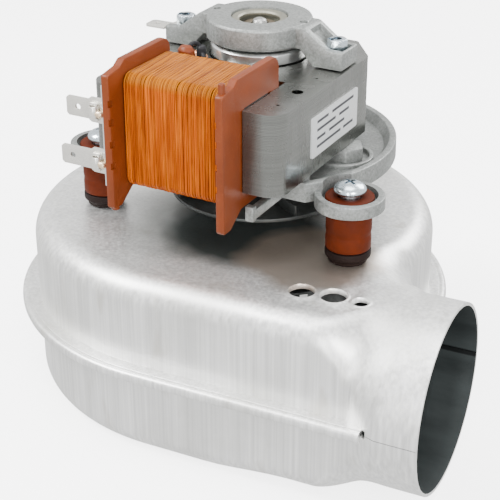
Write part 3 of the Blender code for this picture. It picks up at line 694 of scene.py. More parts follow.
def shell_rows(upper, seam):
    """One row of points for each station, from the seam up or down the wall and round the edge."""
    rows = []
    for wall, way, radius in scroll_plan():
        inner = wall + way * radius
        face = HOUSING_HEIGHT if upper else floor_at(inner)
        sign = 1 if upper else -1
        rise = min(radius, abs(face - seam) - 0.0001)
        straight = face - sign * rise
        row = []
        for share in (0, 0.5, 1):
            row.append(Vector((wall.x, wall.y, seam + (straight - seam) * share)))
        for step in range(1, 13):
            turn = math.pi / 2 * step / 12
            spot = wall + way * radius * (1 - math.cos(turn))
            row.append(Vector((spot.x, spot.y, straight + sign * rise * math.sin(turn))))
        spare = 0.0005
        if wall.x > 0.045 and abs(way.x) < 0.999:
            spare = min(spare, max(0.0, abs(OUTLET_AXIS_Y - inner.y) / 3))
        spot = inner + way * spare
        row.append(Vector((spot.x, spot.y, face)))
        rows.append(row)
    return rows


def face_fill(shape, boundary, holes, height, spacing=0.006):
    """Fill a flat face inside its boundary, leaving round holes, with an even net of points."""
    points, edges = [], []
    for loop in (boundary, *holes):
        start = len(points)
        points += [Vector(point[:2]) for point in loop]
        edges += [(start + index, start + (index + 1) % len(loop)) for index in range(len(loop))]
    low = Vector((min(p.x for p in points), min(p.y for p in points)))
    high = Vector((max(p.x for p in points), max(p.y for p in points)))
    ring = points[:len(boundary)]
    discs = [(sum(loop, Vector((0, 0))) / len(loop), (loop[0] - loop[len(loop) // 2]).length / 2)
             for loop in holes]
    x = low.x + spacing / 2
    while x < high.x:
        y = low.y + spacing / 2
        while y < high.y:
            spot = Vector((x, y))
            clear = min((spot - point).length for point in ring) > spacing * 0.5
            clear = clear and all((spot - centre).length > radius + spacing * 0.4 for centre, radius in discs)
            if clear:
                points.append(spot)
            y += spacing
        x += spacing
    count = len(boundary)
    found = delaunay_2d_cdt(points, edges, [list(range(count))], 1, 1e-7)
    verts = [shape.verts.new((spot.x, spot.y, height(spot))) for spot in found[0]]
    for face in found[2]:
        centre = sum((found[0][index] for index in face), Vector((0, 0))) / len(face)
        if all((centre - disc).length > radius for disc, radius in discs):
            shape.faces.new([verts[index] for index in face])


def hole_rim(shape, centre, profile, sides):
    """Rings of (radius, height) round a hole, the first one on the face's own hole."""
    stitched(shape, [[(*point, height) for point in circle(radius, *centre, sides)] for radius,
                     height in profile], closed=True)


def shell(name, upper, thickness):
    """One pressed half of the scroll, with its holes and rolled rims."""
    half_gap = 0.00012
    seam = SEAM_HEIGHT + (half_gap if upper else -half_gap)
    rows = shell_rows(upper, seam)
    boundary = [row[-1] for row, station in zip(rows, scroll_plan()) if station[0].x < 0.07295]
    top = HOUSING_HEIGHT
    if upper:
        rims = [((0, 0), [(SHAFT_HOLE_RADIUS + 0.0012, top), (SHAFT_HOLE_RADIUS + 0.0003, top - 0.0002),
                          (SHAFT_HOLE_RADIUS, top - 0.0010)], 40)]
        for x, y, radius in PRESSURE_TAPS:
            rims.append(((x, y), [(radius + 0.0008, top), (radius + 0.0005, top + 0.00016),
                                  (radius + 0.0002, top + 0.00014), (radius, top - 0.0002),
                                  (radius - 0.0001, top - 0.0014)], 32))
        holes = [circle(profile[0][0], *centre, sides=sides) for centre, profile, sides in rims]
        level = lambda spot: top
    else:
        low = -DISH_DEPTH
        bend = 0.0045
        rim = [(INLET_RADIUS + bend * (1 - math.sin(turn)), low + bend * (1 - math.cos(turn)))
               for turn in (math.pi / 2 * step / 6 for step in range(7))]
        rim.append((INLET_RADIUS, low + 0.0132))
        rims = [((0, 0), rim, 96)]
        holes = [circle(rim[0][0], sides=96)]
        level = floor_at
    mesh = bpy.data.meshes.new(name)
    with edited(mesh) as shape:
        stitched(shape, rows, closed=False)
        face_fill(shape, boundary, holes, level)
        for rim in rims:
            hole_rim(shape, *rim)
        cleaned(shape, 4e-6, 2e-6)
        bmesh.ops.recalc_face_normals(shape, faces=shape.faces)
        flat = max(shape.faces, key=lambda face: face.calc_area())
        if flat.normal.z * (1 if upper else -1) < 0:
            bmesh.ops.reverse_faces(shape, faces=shape.faces)
    smooth(mesh, 50)
    mesh.materials.append(finish_of("pressed_sheet"))
    # The inner faces take the near-black colour that paints the shade inside the housing.
    mesh.materials.append(finish_of("sooted_sheet"))
    item = link(name, mesh)
    wall = item.modifiers.new("sheet", "SOLIDIFY")
    wall.material_offset = 1
    wall.thickness = thickness
    wall.offset = -1
    wall.use_even_offset = True
    wall.use_quality_normals = True
    mesh = unlinked(settle(item))
    smooth(mesh, 50)
    return mesh


def seam_route(start_turn, end_x):
    """The seam's line on the wall, from the tongue round to the outlet."""
    route = []
    first, last = math.radians(start_turn), math.radians(270)
    for step in range(121):
        turn = first + (last - first) * step / 120
        spot = DRUM_CENTRE + heading(turn) * DRUM_RADIUS
        route.append((spot.x, spot.y, SEAM_HEIGHT))
    steps = 24
    for step in range(1, steps + 1):
        x = DRUM_CENTRE.x + (end_x - DRUM_CENTRE.x) * step / steps
        route.append((x, DRUM_FRONT, SEAM_HEIGHT))
    return route


def rolled_seam_recipe():
    """Sweeps a rounded bar along a route, starting a little way out from it."""
    recipe = Recipe("Rolled seam", Start="Float", Reach="Float", Height="Float", Level="Float",
                    Rounding="Float")
    bar = recipe.add("GeometryNodeCurvePrimitiveQuadrilateral", {"mode": "RECTANGLE"}, width=recipe["Reach"],
                     height=recipe["Height"])
    soft = recipe.add("GeometryNodeFilletCurve", {"mode": "POLY"}, curve=out(bar), count=6,
                      radius=recipe["Rounding"])
    across = recipe.maths("MULTIPLY_ADD", recipe["Reach"], 0.5, recipe["Start"])
    shift = recipe.vector(x=across, y=recipe["Level"])
    profile = recipe.add("GeometryNodeTransform", geometry=out(soft), translation=shift)
    upright = recipe.add("GeometryNodeSetCurveNormal", {"mode": "Z_UP"}, curve=recipe["Geometry"])
    swept = recipe.add("GeometryNodeCurveToMesh", curve=out(upright), profile_curve=out(profile),
                       fill_caps=True)
    return recipe.end(out(swept))


def route_curve(name, points, closed=False):
    curve = bpy.data.curves.new(name, "CURVE")
    curve.dimensions = "3D"
    spline = curve.splines.new("POLY")
    spline.points.add(len(points) - 1)
    for point, place in zip(spline.points, points):
        point.co = (*place, 1)
    spline.use_cyclic_u = closed
    return link(name, curve)


def seam_lap(side):
    """A strip inside the duct that covers the seam, following the front (-1) or the back (1) wall."""
    start, end, steps = 0.060 if side > 0 else 0.034, OUTLET_END - 0.0001, 24
    spots = [(0.00102, height) for height in (0.0006, -0.0010, -0.0024, -0.0036)]
    spots += [(0.00150, height) for _, height in reversed(spots)]
    rows = []
    for step in range(steps + 1):
        x = start + (end - start) * step / steps
        wall = DUCT_BACK if side > 0 else duct_front(x)
        row = []
        for depth, height in spots:
            hollow = OUTLET_RADIUS - math.sqrt(OUTLET_RADIUS ** 2 - height ** 2)
            inset = depth + hollow * ease((x - 0.061) / 0.012)
            row.append(Vector((x, wall - side * inset, SEAM_HEIGHT + height)))
        rows.append(row)
    return from_faces("lap", rows, closed=True, capped=True)


class FAN_OT_housing(bpy.types.Operator):
    """Press the two halves of the scroll housing and roll the seam between them"""
    bl_idname = "fan.housing"
    bl_label = "Scroll Housing"

    def execute(self, context):
        sizes = context.scene.fan_sizes
        for name, upper in (("upper_housing", True), ("lower_housing", False)):
            half = Solid(shell(name, upper, sizes.sheet))
            half.cut(block("notch", (sizes.seam_end + 0.0001, -0.0850, 0.0288),
                           (sizes.seam_end + 0.0014, -0.0700, 0.0314)))
            smooth(half.mesh, 50)
            placed(name, half.mesh, ["upper_shell" if upper else "lower_shell"])
        # The laps inside the duct take the same painted-shade colour.
        piece("seam_laps", joined("laps", seam_lap(-1), seam_lap(1)), "pressed_sheet", finish="sooted_sheet",
              place=ON_SHAFT)
        recipe = rolled_seam_recipe()
        bars = (("seam_roll", 0.0027, sizes.seam_reach, 0.0037, 0.00065, 0.0015),
                ("seam_flange", -0.0003, 0.0036, 0.0021, -0.0001, 0.0002))
        for name, start, end, height, level, rounding in bars:
            bar = recipe.use(route_curve(name, seam_route(-5, sizes.seam_end)), Start=start,
                             Reach=end - start, Height=height, Level=level, Rounding=rounding,
                             Finish=finish_of("pressed_sheet"))
            smooth(bar.data, 50)
            placed(name, unlinked(bar))
        return {"FINISHED"}


# ---------------------------------------------------------------- repeated parts
def copies_recipe():
    """Puts a copy of a part on every point, turned by the point's own turn."""
    recipe = Recipe("Placed copies", Part="Object")
    part = recipe.add("GeometryNodeObjectInfo", {"transform_space": "ORIGINAL"}, object=recipe["Part"])
    turn = recipe.add("GeometryNodeInputNamedAttribute", {"data_type": "FLOAT"}, name="turn")
    spin = recipe.vector(z=out(turn))
    set_out = recipe.add("GeometryNodeInstanceOnPoints", points=recipe["Geometry"],
                         instance=out(part, "geometry"), rotation=spin)
    return recipe.end(out(set_out))


def copies(name, part_mesh, places, finish):
    """One mesh of copies of a part; places are (point, turn)."""
    points = bpy.data.meshes.new(name)
    points.from_pydata([place for place, turn in places], [], [])
    turns = points.attributes.new("turn", "FLOAT", "POINT")
    turns.data.foreach_set("value", [turn for place, turn in places])
    part = link(name + "_part", part_mesh)
    item = copies_recipe().use(link(name, points), Part=part, Finish=finish_of(finish))
    bpy.data.objects.remove(part)
    mesh = unlinked(item)
    smooth(mesh)
    return mesh


def damper_places():
    turns = [math.radians(angle) for angle in DAMPER_ANGLES.values()]
    return [((DAMPER_REACH * math.cos(turn), DAMPER_REACH * math.sin(turn), 0.0), turn) for turn in turns]


class FAN_OT_dampers(bpy.types.Operator):
    """Mould the three rubber dampers and fit their bushes and pan-head screws"""
    bl_idname = "fan.dampers"
    bl_label = "Rubber Dampers"

    def execute(self, context):
        sizes = context.scene.fan_sizes
        base = HOUSING_HEIGHT
        rubber = sizes.rubber_radius
        foot = lathe("foot", [(0.0025, base + 0.0046), (rubber + 0.0001, base + 0.0046),
                              (rubber + 0.0001, base + 0.0024), (0.0062, base + 0.0014),
                              (0.0062, base + 0.0003), (0.0025, base + 0.0003)], 0.0005)
        body = lathe("body", [(0.0037, 0.0822), (0.0077, 0.0822), (0.0077, 0.0800), (0.0055, 0.0798),
                              (0.0055, 0.0783), (rubber, 0.0783), (rubber, 0.0715), (rubber - 0.0002, 0.0700),
                              (rubber, 0.0685), (rubber, base + 0.0049), (0.0037, base + 0.0049)], 0.0005)
        bush = tube("bush", 0.0024, 0.0034, base + 0.0049, 0.0835, 0.0002, 40)
        seat, rise, head = 0.0836, 0.0029, 0.0051
        dome = [(head * math.sin(turn), seat + 0.0003 + rise * math.cos(turn) ** 0.85)
                for turn in (math.pi / 2 * step / 9 for step in range(1, 9))]
        screw = lathe("screw", [(0, seat + 0.0003 + rise), *dome, (head, seat + 0.0003), (0.0050, seat),
                                (0.0019, seat), (0.0019, 0.0550), (0, 0.0550)], 0, 48)
        width, reach, depth = 0.00045, 0.0021, 0.0013
        screw = Solid(screw)
        for x, y in ((reach, width), (width, reach)):
            screw.cut(block("recess", (-x, -y, seat + rise - depth), (x, y, seat + rise + 0.002)))
        for name, node, part, slot in (("damper_feet", "damper_foot", foot, "dark_rubber"),
                                       ("damper_rubbers", "damper", body, "damper_rubber"),
                                       ("damper_bushes", "damper_bush", bush, "zinc_plate"),
                                       ("damper_screws", "damper_screw", screw.mesh, "zinc_plate")):
            piece(name, copies(name, part, damper_places(), slot), slot,
                  *[f"{node}_{side}" for side in DAMPER_ANGLES], place=ON_SHAFT)
        return {"FINISHED"}


# ---------------------------------------------------------------- brackets
class FAN_OT_lower_bracket(bpy.types.Operator):
    """Cast the lower bracket: a dished plate with damper cups, pillars, posts and a bearing boss"""
    bl_idname = "fan.lower_bracket"
    bl_label = "Lower Bracket"

    def execute(self, context):
        low, high, rim = 0.0790, 0.0820, 0.046
        pillar_top, pillar_x = STACK_BOTTOM - 0.0003, 0.0312
        plate = lathe("plate", [(0, high), (0.0418, high), (0.0436, 0.0854), (0.0459, 0.0854), (rim, low),
                                (0, low)], 0.0004, 128)
        body = Solid(plate)
        body.cut(block("coil_notch", (-0.0217, -0.070, 0.070), (0.0217, -0.0240, 0.095)))
        for side in (-1, 1):
            near, far = sorted((side * 0.0200, side * 0.0350))
            body.cut(block("bay", (near, -0.0700, 0.0690), (far, -0.0318, 0.0960)))
        body.join(lathe("boss", [(0, high - 0.0005), (0.0135, high - 0.0005), (0.0135, 0.0795),
                                 (0.0125, 0.0780), (0.0125, 0.0715), (0, 0.0715)], 0.0005))
        for place, _ in damper_places():
            x, y = (Matrix.Rotation(-MOTOR_TURN, 2) @ Vector(place[:2]))
            body.join(lathe("cup", [(0, 0.0826), (0.0109, 0.0826), (0.0110, 0.07845), (0, 0.07845)], 0.0004),
                      x, y)
            body.cut(tube("bore", 0, 0.0088, 0.0797, 0.0900, 0), x, y)
            body.cut(tube("neck", 0, 0.0060, 0.0700, 0.0900, 0, 48), x, y)
        for side in (-1, 1):
            horn = sorted((side * 0.0219, side * 0.0245))
            body.join(block("horn", (horn[0], -0.0500, 0.0782), (horn[1], -0.0230, 0.0815), 0.0004))
            body.join(block("horn_tip", (horn[0] - 0.0001, -0.0501, 0.0780),
                            (horn[1] + 0.0001, -0.0478, 0.0828), 0.0003))
            body.join(lathe("post", [(0, pillar_top), (0.0033, pillar_top), (0.0035, 0.0835),
                                     (0.0044, 0.0822), (0.0044, 0.0800), (0, 0.0800)], 0.0004, 40),
                      side * 0.0280, -0.0265)
            body.join(lathe("ridge", [(0.0083, 0.0815), (0.0083, 0.0834), (0.0098, 0.0834), (0.0098, 0.0815)],
                            0.0004), side * pillar_x, 0)
            pillar = tube("pillar", 0, 0.0068, 0.0810, pillar_top, 0, 6)
            body.join(bevelled(pillar, 0.0005), side * pillar_x, 0)
            body.cut(tube("thread", 0, 0.0021, 0.0700, 0.0900, 0, 32), side * BOLT_REACH, 0)
            body.join(block("rib", (0.0130, -0.0009, 0.0805), (0.0430, 0.0009, 0.0838), 0.0003),
                      turn=math.radians(90 - side * 32))
        seat = tube("seat", 0, 0.0093, 0.0700, 0.0788, 0, 48)
        floor = tube("floor", 0, 0.0045, 0.0760, 0.0950, 0, 48)
        body.cut(seat)
        body.cut(floor)
        smooth(body.mesh, 35)
        piece("motor_lower_bracket", body.mesh, "cast_alloy", "lower_bracket")
        return {"FINISHED"}


class FAN_OT_upper_bracket(bpy.types.Operator):
    """Cast the upper bracket: a bearing boss on two channelled legs"""
    bl_idname = "fan.upper_bracket"
    bl_label = "Upper Bracket"

    def execute(self, context):
        sizes = context.scene.fan_sizes
        foot_low = STACK_TOP + 0.0003
        half = [(0, BOSS_BOTTOM), (0.0175, BOSS_BOTTOM, 0.0008), (0.0222, foot_low, 0), (0.0322, foot_low, 0),
                (0.0322, 0.1190, 0.0006), (0.0270, 0.1192, 0.0020), (0.0188, BOSS_TOP - 0.0002, 0.0025),
                (0, BOSS_TOP - 0.0002)]
        outline = half + [(-corner[0], *corner[1:]) for corner in reversed(half[1:-1])]
        legs = front_on(slab("legs", [softened(outline, 0, 4)], -0.0062, 0.0062, 0.0005))
        boss = lathe("boss", [(0, BOSS_TOP), (sizes.boss_radius - 0.0004, BOSS_TOP),
                              (sizes.boss_radius, 0.1247), (sizes.boss_radius, 0.1190),
                              (sizes.boss_radius - 0.0008, BOSS_BOTTOM), (0, BOSS_BOTTOM)], 0.0004, 96)
        body = Solid(legs)
        body.join(boss)
        for side in (-1, 1):
            end = 0.0313 if side > 0 else 0.0340
            channel = [(0.0196, 0.1270), (0.0200, 0.1228), (0.0242, 0.1172), (end, 0.1172), (end, 0.1270)]
            channel = [(side * x, z, 0.0006) for x, z in channel]
            body.cut(front_on(slab("channel", [softened(channel, 0, 3)], -0.0040, 0.0037, 0.0003)))
            body.cut(tube("hole", 0, 0.0021, 0.1100, 0.1200, 0, 32), side * BOLT_REACH, 0)
            body.cut(lathe("tooling", [(0, 0.1280), (0.0016, 0.1280), (0.0013, 0.1253), (0.0012, 0.1225),
                                       (0, 0.1225)], 0, 32), side * 0.0158, 0)
        seat = lathe("seat", [(0, 0.1300), (0.0101, 0.1300), (0.0093, 0.1252), (0.0093, 0.1208), (0, 0.1208)],
                     0, 64)
        floor = tube("floor", 0, 0.0040, 0.1150, 0.1300, 0, 48)
        body.cut(seat)
        body.cut(floor)
        smooth(body.mesh, 35)
        piece("motor_upper_bracket", body.mesh, "cast_alloy", "upper_bracket")
        return {"FINISHED"}


class FAN_OT_bearings(bpy.types.Operator):
    """Fit the spherical bearings and the spring rings that hold them"""
    bl_idname = "fan.bearings"
    bl_label = "Bearings"

    def execute(self, context):
        for side, face, way in (("upper", 0.1252, -1), ("lower", 0.0718, 1)):
            ring = [(0.0091, 0.0004), (0.0090, 0.0040), (0.0083, 0.0040), (0.0083, 0.0016), (0.0074, 0.0016),
                    (0.0067, 0.0021), (0.0066, 0.0010), (0.0072, 0.0005), (0.0086, 0.0002)]
            ball = [(0.0028, 0.0022), (0.0044, 0.0022), (0.0053, 0.0025), (0.0058, 0.0030), (0.0053, 0.0038),
                    (0.0044, 0.0042), (0.0028, 0.0042)]
            parts = (("bearing_retainer", ring, "tinned_brass", "passivated_steel"),
                     ("bearing", ball, "sintered_bronze", None))
            for part, profile, slot, finish in parts:
                mesh = lathe(part, [(radius, face + way * depth) for radius, depth in profile], 0.0002)
                piece(f"{side}_{part}_ring", mesh, slot, f"{side}_{part}", finish=finish)
        return {"FINISHED"}


def hex_head(seat):
    head = tube("head", 0, 0.0033, seat, seat + 0.0034, 0, 6)
    chamfer = lathe("chamfer", [(0, seat + 0.0036), (0.0026, seat + 0.0036), (0.0036, seat + 0.0028),
                                (0.0036, seat - 0.001), (0, seat - 0.001)], 0, 48)
    head = Solid(bevelled(head, 0.00015))
    head.step("INTERSECT", chamfer)
    head.cut(lathe("dimple", [(0, seat + 0.0040), (0.0020, seat + 0.0040), (0.0012, seat + 0.0031),
                              (0, seat + 0.00305)], 0, 32))
    return head


class FAN_OT_fasteners(bpy.types.Operator):
    """Drive the two hexagon bolts through the motor, with a washer and the earth tab under their heads"""
    bl_idname = "fan.fasteners"
    bl_label = "Bolts and Earth Tab"

    def execute(self, context):
        under, thick = 0.1173, 0.0008
        seat = under + thick + 0.0003
        shank = lathe("shank", [(0, seat + 0.0005), (0.0018, seat + 0.0005), (0.0018, 0.0805),
                                (0.0013, 0.0800), (0, 0.0800)], 0, 32)
        bolt = hex_head(seat)
        bolt.join(shank)
        places = [((side * BOLT_REACH, 0, 0), 0.3 * side) for side in (-1, 1)]
        piece("bracket_bolts", copies("bracket_bolts", bolt.mesh, places, "zinc_plate"), "zinc_plate",
              "bracket_bolt_left", "bracket_bolt_right")
        washer = tube("washer", 0.0021, 0.0031, under, under + thick, 0.0002, 48)
        piece("bolt_washer_ring", moved(washer, BOLT_REACH), "zinc_plate", "bolt_washer")
        tab = [(-0.0405, -0.0058, 0.0014), (-0.0330, -0.0058, 0.0003), (-0.0325, -0.0033, 0.0003),
               (-0.0250, -0.0033, 0.0010), (-0.0250, 0.0028, 0.0010), (-0.0325, 0.0028, 0.0003),
               (-0.0330, 0.0003, 0.0003), (-0.0405, 0.0003, 0.0014)]
        holes = [circle(0.0021, -BOLT_REACH, 0), circle(0.00085, -0.0372, -0.0027, 20)]
        mesh = slab("tab", [softened(tab, 0.0005), *holes], under, under + thick, 0.00015)
        piece("earth_terminal", mesh, "tinned_brass", "earth_tab")
        return {"FINISHED"}


# ---------------------------------------------------------------- stator and coil
def laminations_recipe():
    """Stacks thin sheets cut to an outline, each a hair out of line."""
    recipe = Recipe("Laminations", Count="Int", Pitch="Float", Thickness="Float", Jitter="Float", Seed="Int")
    sheet = recipe.add("GeometryNodeExtrudeMesh", {"mode": "FACES"}, mesh=recipe["Geometry"],
                       offset_scale=recipe["Thickness"], individual=False)
    under = recipe.add("GeometryNodeFlipFaces", mesh=recipe["Geometry"])
    both = recipe.add("GeometryNodeJoinGeometry")
    recipe.tree.links.new(out(sheet), both.inputs[0])
    recipe.tree.links.new(out(under), both.inputs[0])
    welded = recipe.add("GeometryNodeMergeByDistance", geometry=out(both), distance=1e-6)
    step = recipe.vector(z=recipe["Pitch"])
    line = recipe.add("GeometryNodeMeshLine", {"mode": "OFFSET"}, count=recipe["Count"], offset=step)
    slip = recipe.maths("MULTIPLY", recipe["Jitter"], -1)
    low = recipe.vector(x=slip, y=slip)
    high = recipe.vector(x=recipe["Jitter"], y=recipe["Jitter"])
    shift = recipe.add("FunctionNodeRandomValue", {"data_type": "FLOAT_VECTOR"}, min=low, max=high,
                       seed=recipe["Seed"])
    nudged = recipe.add("GeometryNodeSetPosition", geometry=out(line), offset=out(shift))
    stack = recipe.add("GeometryNodeInstanceOnPoints", points=out(nudged), instance=out(welded))
    return recipe.end(out(stack))


def flat_face(name, outlines):
    """Flat outlines filled as faces that look up."""
    mesh = slab(name, outlines, -0.0001, 0.0)
    with edited(mesh) as shape:
        lower = [face for face in shape.faces if face.normal.z < 0.9]
        bmesh.ops.delete(shape, geom=lower, context="FACES")
    return mesh


def shading_holes(side):
    places = []
    for radius, angle in ((0.0190, 52), (0.0225, 38)):
        turn = math.radians(angle if side > 0 else angle + 180)
        places.append((radius * math.cos(turn), radius * math.sin(turn)))
    return places


def stack(name, outlines, count):
    pitch = (STACK_TOP - STACK_BOTTOM) / count
    item = laminations_recipe().use(link(name, flat_face(name, outlines)), Count=count, Pitch=pitch,
                                    Thickness=pitch * 0.9, Jitter=0.00002, Seed=7,
                                    Finish=finish_of("laminated_steel"))
    mesh = unlinked(item)
    mesh.transform(Matrix.Translation((0, 0, STACK_BOTTOM + pitch * 0.05)))
    smooth(mesh, 30)
    return mesh


class FAN_OT_stator(bpy.types.Operator):
    """Stack the C-frame's laminations, and fit its shading rings"""
    bl_idname = "fan.stator"
    bl_label = "Laminated Stator"

    def execute(self, context):
        sizes = context.scene.fan_sizes
        width, front, back, arm, yoke = 0.0330, -0.0500, 0.0260, 0.0207, -0.0220
        right = [(arm, yoke, 0.0005), (arm, front, 0.0004), (width, front, 0.0115), (width, 0.0130, 0.002),
                 (0.0235, back, 0.002)]
        left = [(-x, y, radius) for x, y, radius in reversed(right)]
        holes = [circle(0.0165, sides=72)]
        for side in (-1, 1):
            holes.append(circle(0.0021, side * BOLT_REACH, 0, 20))
            holes.append(circle(0.0018, side * 0.0278, -0.0280, 20))
            holes.append(circle(0.0005, side * 0.0276, -0.0143, 10))
            holes.append(circle(0.0005, side * 0.0278, -0.0408, 10))
            holes += [circle(0.0013, x, y, 12) for x, y in shading_holes(side)]
        piece("stator_laminations", stack("stator", [softened(right + left, 0, 12), *holes],
                                          sizes.sheet_count), "laminated_steel", "stator_core")
        for name, side in TWO_SIDES:
            near, far = (Vector((*spot, 0)) for spot in shading_holes(side))
            low, high = STACK_BOTTOM - 0.0013, STACK_TOP + 0.0013
            sides = [(0, low, 0.0005), (0, high, 0.0008), (1, high, 0.0008), (1, low, 0.0005)]
            loop = softened([(share * (far - near).length, z, radius) for share, z, radius in sides], 0, 4)
            way = (far - near).normalized()
            route = [near + way * point.x + Vector((0, 0, point.y)) for point in loop]
            flat = way.cross(Vector((0, 0, 1)))
            rows = []
            for index in range(len(route) + 1):
                point = route[index % len(route)]
                ahead = route[(index + 1) % len(route)] - route[(index - 1) % len(route)]
                across = ahead.cross(flat).normalized()
                rows.append([point + 0.0009 * (flat * math.cos(turn) + across * math.sin(turn))
                             for turn in full_turn(12)])
            ring = from_faces("ring", rows, closed=True)
            piece(f"shading_loop_{name}", ring, "copper", f"shading_ring_{name}")
        face, start, reach = 0.0333, -0.0290, 0.0330
        low, high = 0.0925, 0.1055
        corners = [(start, low), (start + reach, low), (start + reach, high), (start, high)]
        label = side_on(slab("label", [softened(corners, 0.0006)], face - 0.0003, face + 0.0003))
        piece("rating_label", label, "label_foil", "rating_plate")
        bars = []
        for row, cuts in enumerate(((0.1, 0.34, 0.42, 0.9), (0.1, 0.5, 0.58, 0.8), (0.1, 0.28, 0.36, 0.7),
                                    (0.1, 0.62, 0.68, 0.9))):
            z = 0.1031 - row * 0.0027
            for left, right in zip(cuts[::2], cuts[1::2]):
                bars.append(block("bar", (face + 0.0002, start + reach * left, z),
                                  (face + 0.00033, start + reach * right, z + 0.0009)))
        piece("label_print", joined("print", *bars), "label_foil", finish="label_ink")
        return {"FINISHED"}


class FAN_OT_bobbin(bpy.types.Operator):
    """Mould the bobbin: two thick flanges on a square tube, with wire slots and a lead-in horn"""
    bl_idname = "fan.bobbin"
    bl_label = "Bobbin"

    def execute(self, context):
        inner, outer = 0.0179, 0.0206
        front, rear = -0.0610, -0.0260
        outline = [(front, 0.0772, 0.0012), (front + 0.0045, 0.0772, 0.0012), (-0.0500, 0.0815, 0.0010),
                   (rear, 0.0815, 0.002), (rear, 0.1232, 0.004), (-0.0520, 0.1232, 0.0015),
                   (-0.0545, 0.1215, 0.0012), (front, 0.1205, 0.0012)]
        tube_front, tube_back, wall = -0.0483, -0.0317, 0.0012
        low, high = STACK_BOTTOM - 0.0003, STACK_TOP + 0.0003
        tube_wall = block("tube", (-inner - 0.0005, tube_front - wall, low - wall),
                          (inner + 0.0005, tube_back + wall, high + wall), 0.0004)
        body = Solid(tube_wall)
        for side in (-1, 1):
            near, far = sorted((side * inner, side * outer))
            body.join(side_on(slab("flange", [softened(outline, 0, 5)], near, far, 0.00045)))
            for z in (0.0905, 0.0975, 0.1045, 0.1105):
                body.cut(block("slot", (side * inner - 0.0006, -0.0625, z),
                               (side * inner + 0.0006, -0.0592, z + 0.0022)))
        body.join(lathe("pin", [(0, 0.1238), (0.0010, 0.1238), (0.0012, 0.1190), (0, 0.1190)], 0.0003, 24),
                  0.0190, -0.0585)
        body.join(lathe("horn", [(0, 0.0790), (0.0011, 0.0790), (0.0013, 0.0765), (0, 0.0765)], 0.0003, 24),
                  -0.0190, -0.0588)
        body.cut(block("core_slot", (-0.05, tube_front, low), (0.05, tube_back, high)))
        smooth(body.mesh, 35)
        piece("coil_bobbin", body.mesh, "bobbin_nylon", "bobbin")
        return {"FINISHED"}


def winding_recipe():
    """Lays turns of wire side by side, each a copy of one loop, a little off true."""
    recipe = Recipe("Wound turns", Turns="Int", Width="Float", Wire="Float", Lean="Float", Swell="Float",
                    Seed="Int")
    thick = recipe.add("GeometryNodeCurvePrimitiveCircle", {"mode": "RADIUS"}, resolution=6,
                       radius=recipe["Wire"])
    loop = recipe.add("GeometryNodeCurveToMesh", curve=recipe["Geometry"], profile_curve=out(thick))
    half = recipe.maths("MULTIPLY", recipe["Width"], 0.5)
    start = recipe.vector(x=recipe.maths("MULTIPLY", half, -1))
    end = recipe.vector(x=half)
    line = recipe.add("GeometryNodeMeshLine", {"mode": "END_POINTS"}, count=recipe["Turns"],
                      start_location=start, offset=end)
    lean = recipe.maths("MULTIPLY", recipe["Lean"], -1)
    low = recipe.vector(y=lean, z=lean)
    high = recipe.vector(y=recipe["Lean"], z=recipe["Lean"])
    tilt = recipe.add("FunctionNodeRandomValue", {"data_type": "FLOAT_VECTOR"}, min=low, max=high,
                      seed=recipe["Seed"])
    small = recipe.maths("SUBTRACT", 1, recipe["Swell"])
    large = recipe.maths("ADD", 1, recipe["Swell"])
    swell = recipe.add("FunctionNodeRandomValue", {"data_type": "FLOAT"}, min=small, max=large,
                       seed=recipe.maths("ADD", recipe["Seed"], 5))
    turns = recipe.add("GeometryNodeInstanceOnPoints", points=out(line), instance=out(loop),
                       rotation=out(tilt), scale=out(swell))
    return recipe.end(out(turns))


class FAN_OT_winding(bpy.types.Operator):
    """Wind the coil: layers of enamelled wire over a filled core"""
    bl_idname = "fan.winding"
    bl_label = "Winding"

    def execute(self, context):
        sizes = context.scene.fan_sizes
        front, back, low, high = -0.0545, -0.0262, 0.0825, 0.1195
        centre = Vector(((front + back) / 2, (low + high) / 2))
        half = sizes.winding_width / 2

        def outline(inset):
            edge = [(front + inset, low + inset, 0.003), (front + inset, centre.y, 0.03),
                    (front + inset, high - inset, 0.0032), (back - inset, high - inset, 0.0035),
                    (back - inset, low + inset, 0.003)]
            return [point - centre for point in softened(edge, 0, 6)]

        meshes = []
        for layer, (inset, width) in enumerate(((0.0002, half * 2 - 0.0006), (0.0005, half * 2 - 0.0002))):
            loop = outline(inset + sizes.wire_radius)
            turn = route_curve("winding", [(0, *point) for point in loop], closed=True)
            item = winding_recipe().use(turn, Turns=sizes.wire_turns, Width=width, Wire=sizes.wire_radius,
                                        Lean=0.009 + 0.009 * layer, Swell=0.005, Seed=3 + layer,
                                        Finish=finish_of("enamelled_wire"))
            meshes.append(unlinked(item))
        # The filled core under the turns is dark brown, seen between the turns as painted shade.
        hollow = [Vector((y, z)) - centre for y, z in ((-0.0505, 0.0845), (-0.0302, 0.0845),
                                                       (-0.0302, 0.1152), (-0.0505, 0.1152))]
        core = side_on(slab("core", [outline(0.0009), hollow], -half, half))
        centred = Matrix.Translation((0, centre.x, centre.y))
        core.transform(centred)
        piece("coil_core_varnish", core, "enamelled_wire", finish="varnish")
        mesh = joined("coil", *meshes)
        smooth(mesh, 60)
        mesh.transform(centred)
        piece("coil_winding", mesh, "enamelled_wire", "winding")
        return {"FINISHED"}


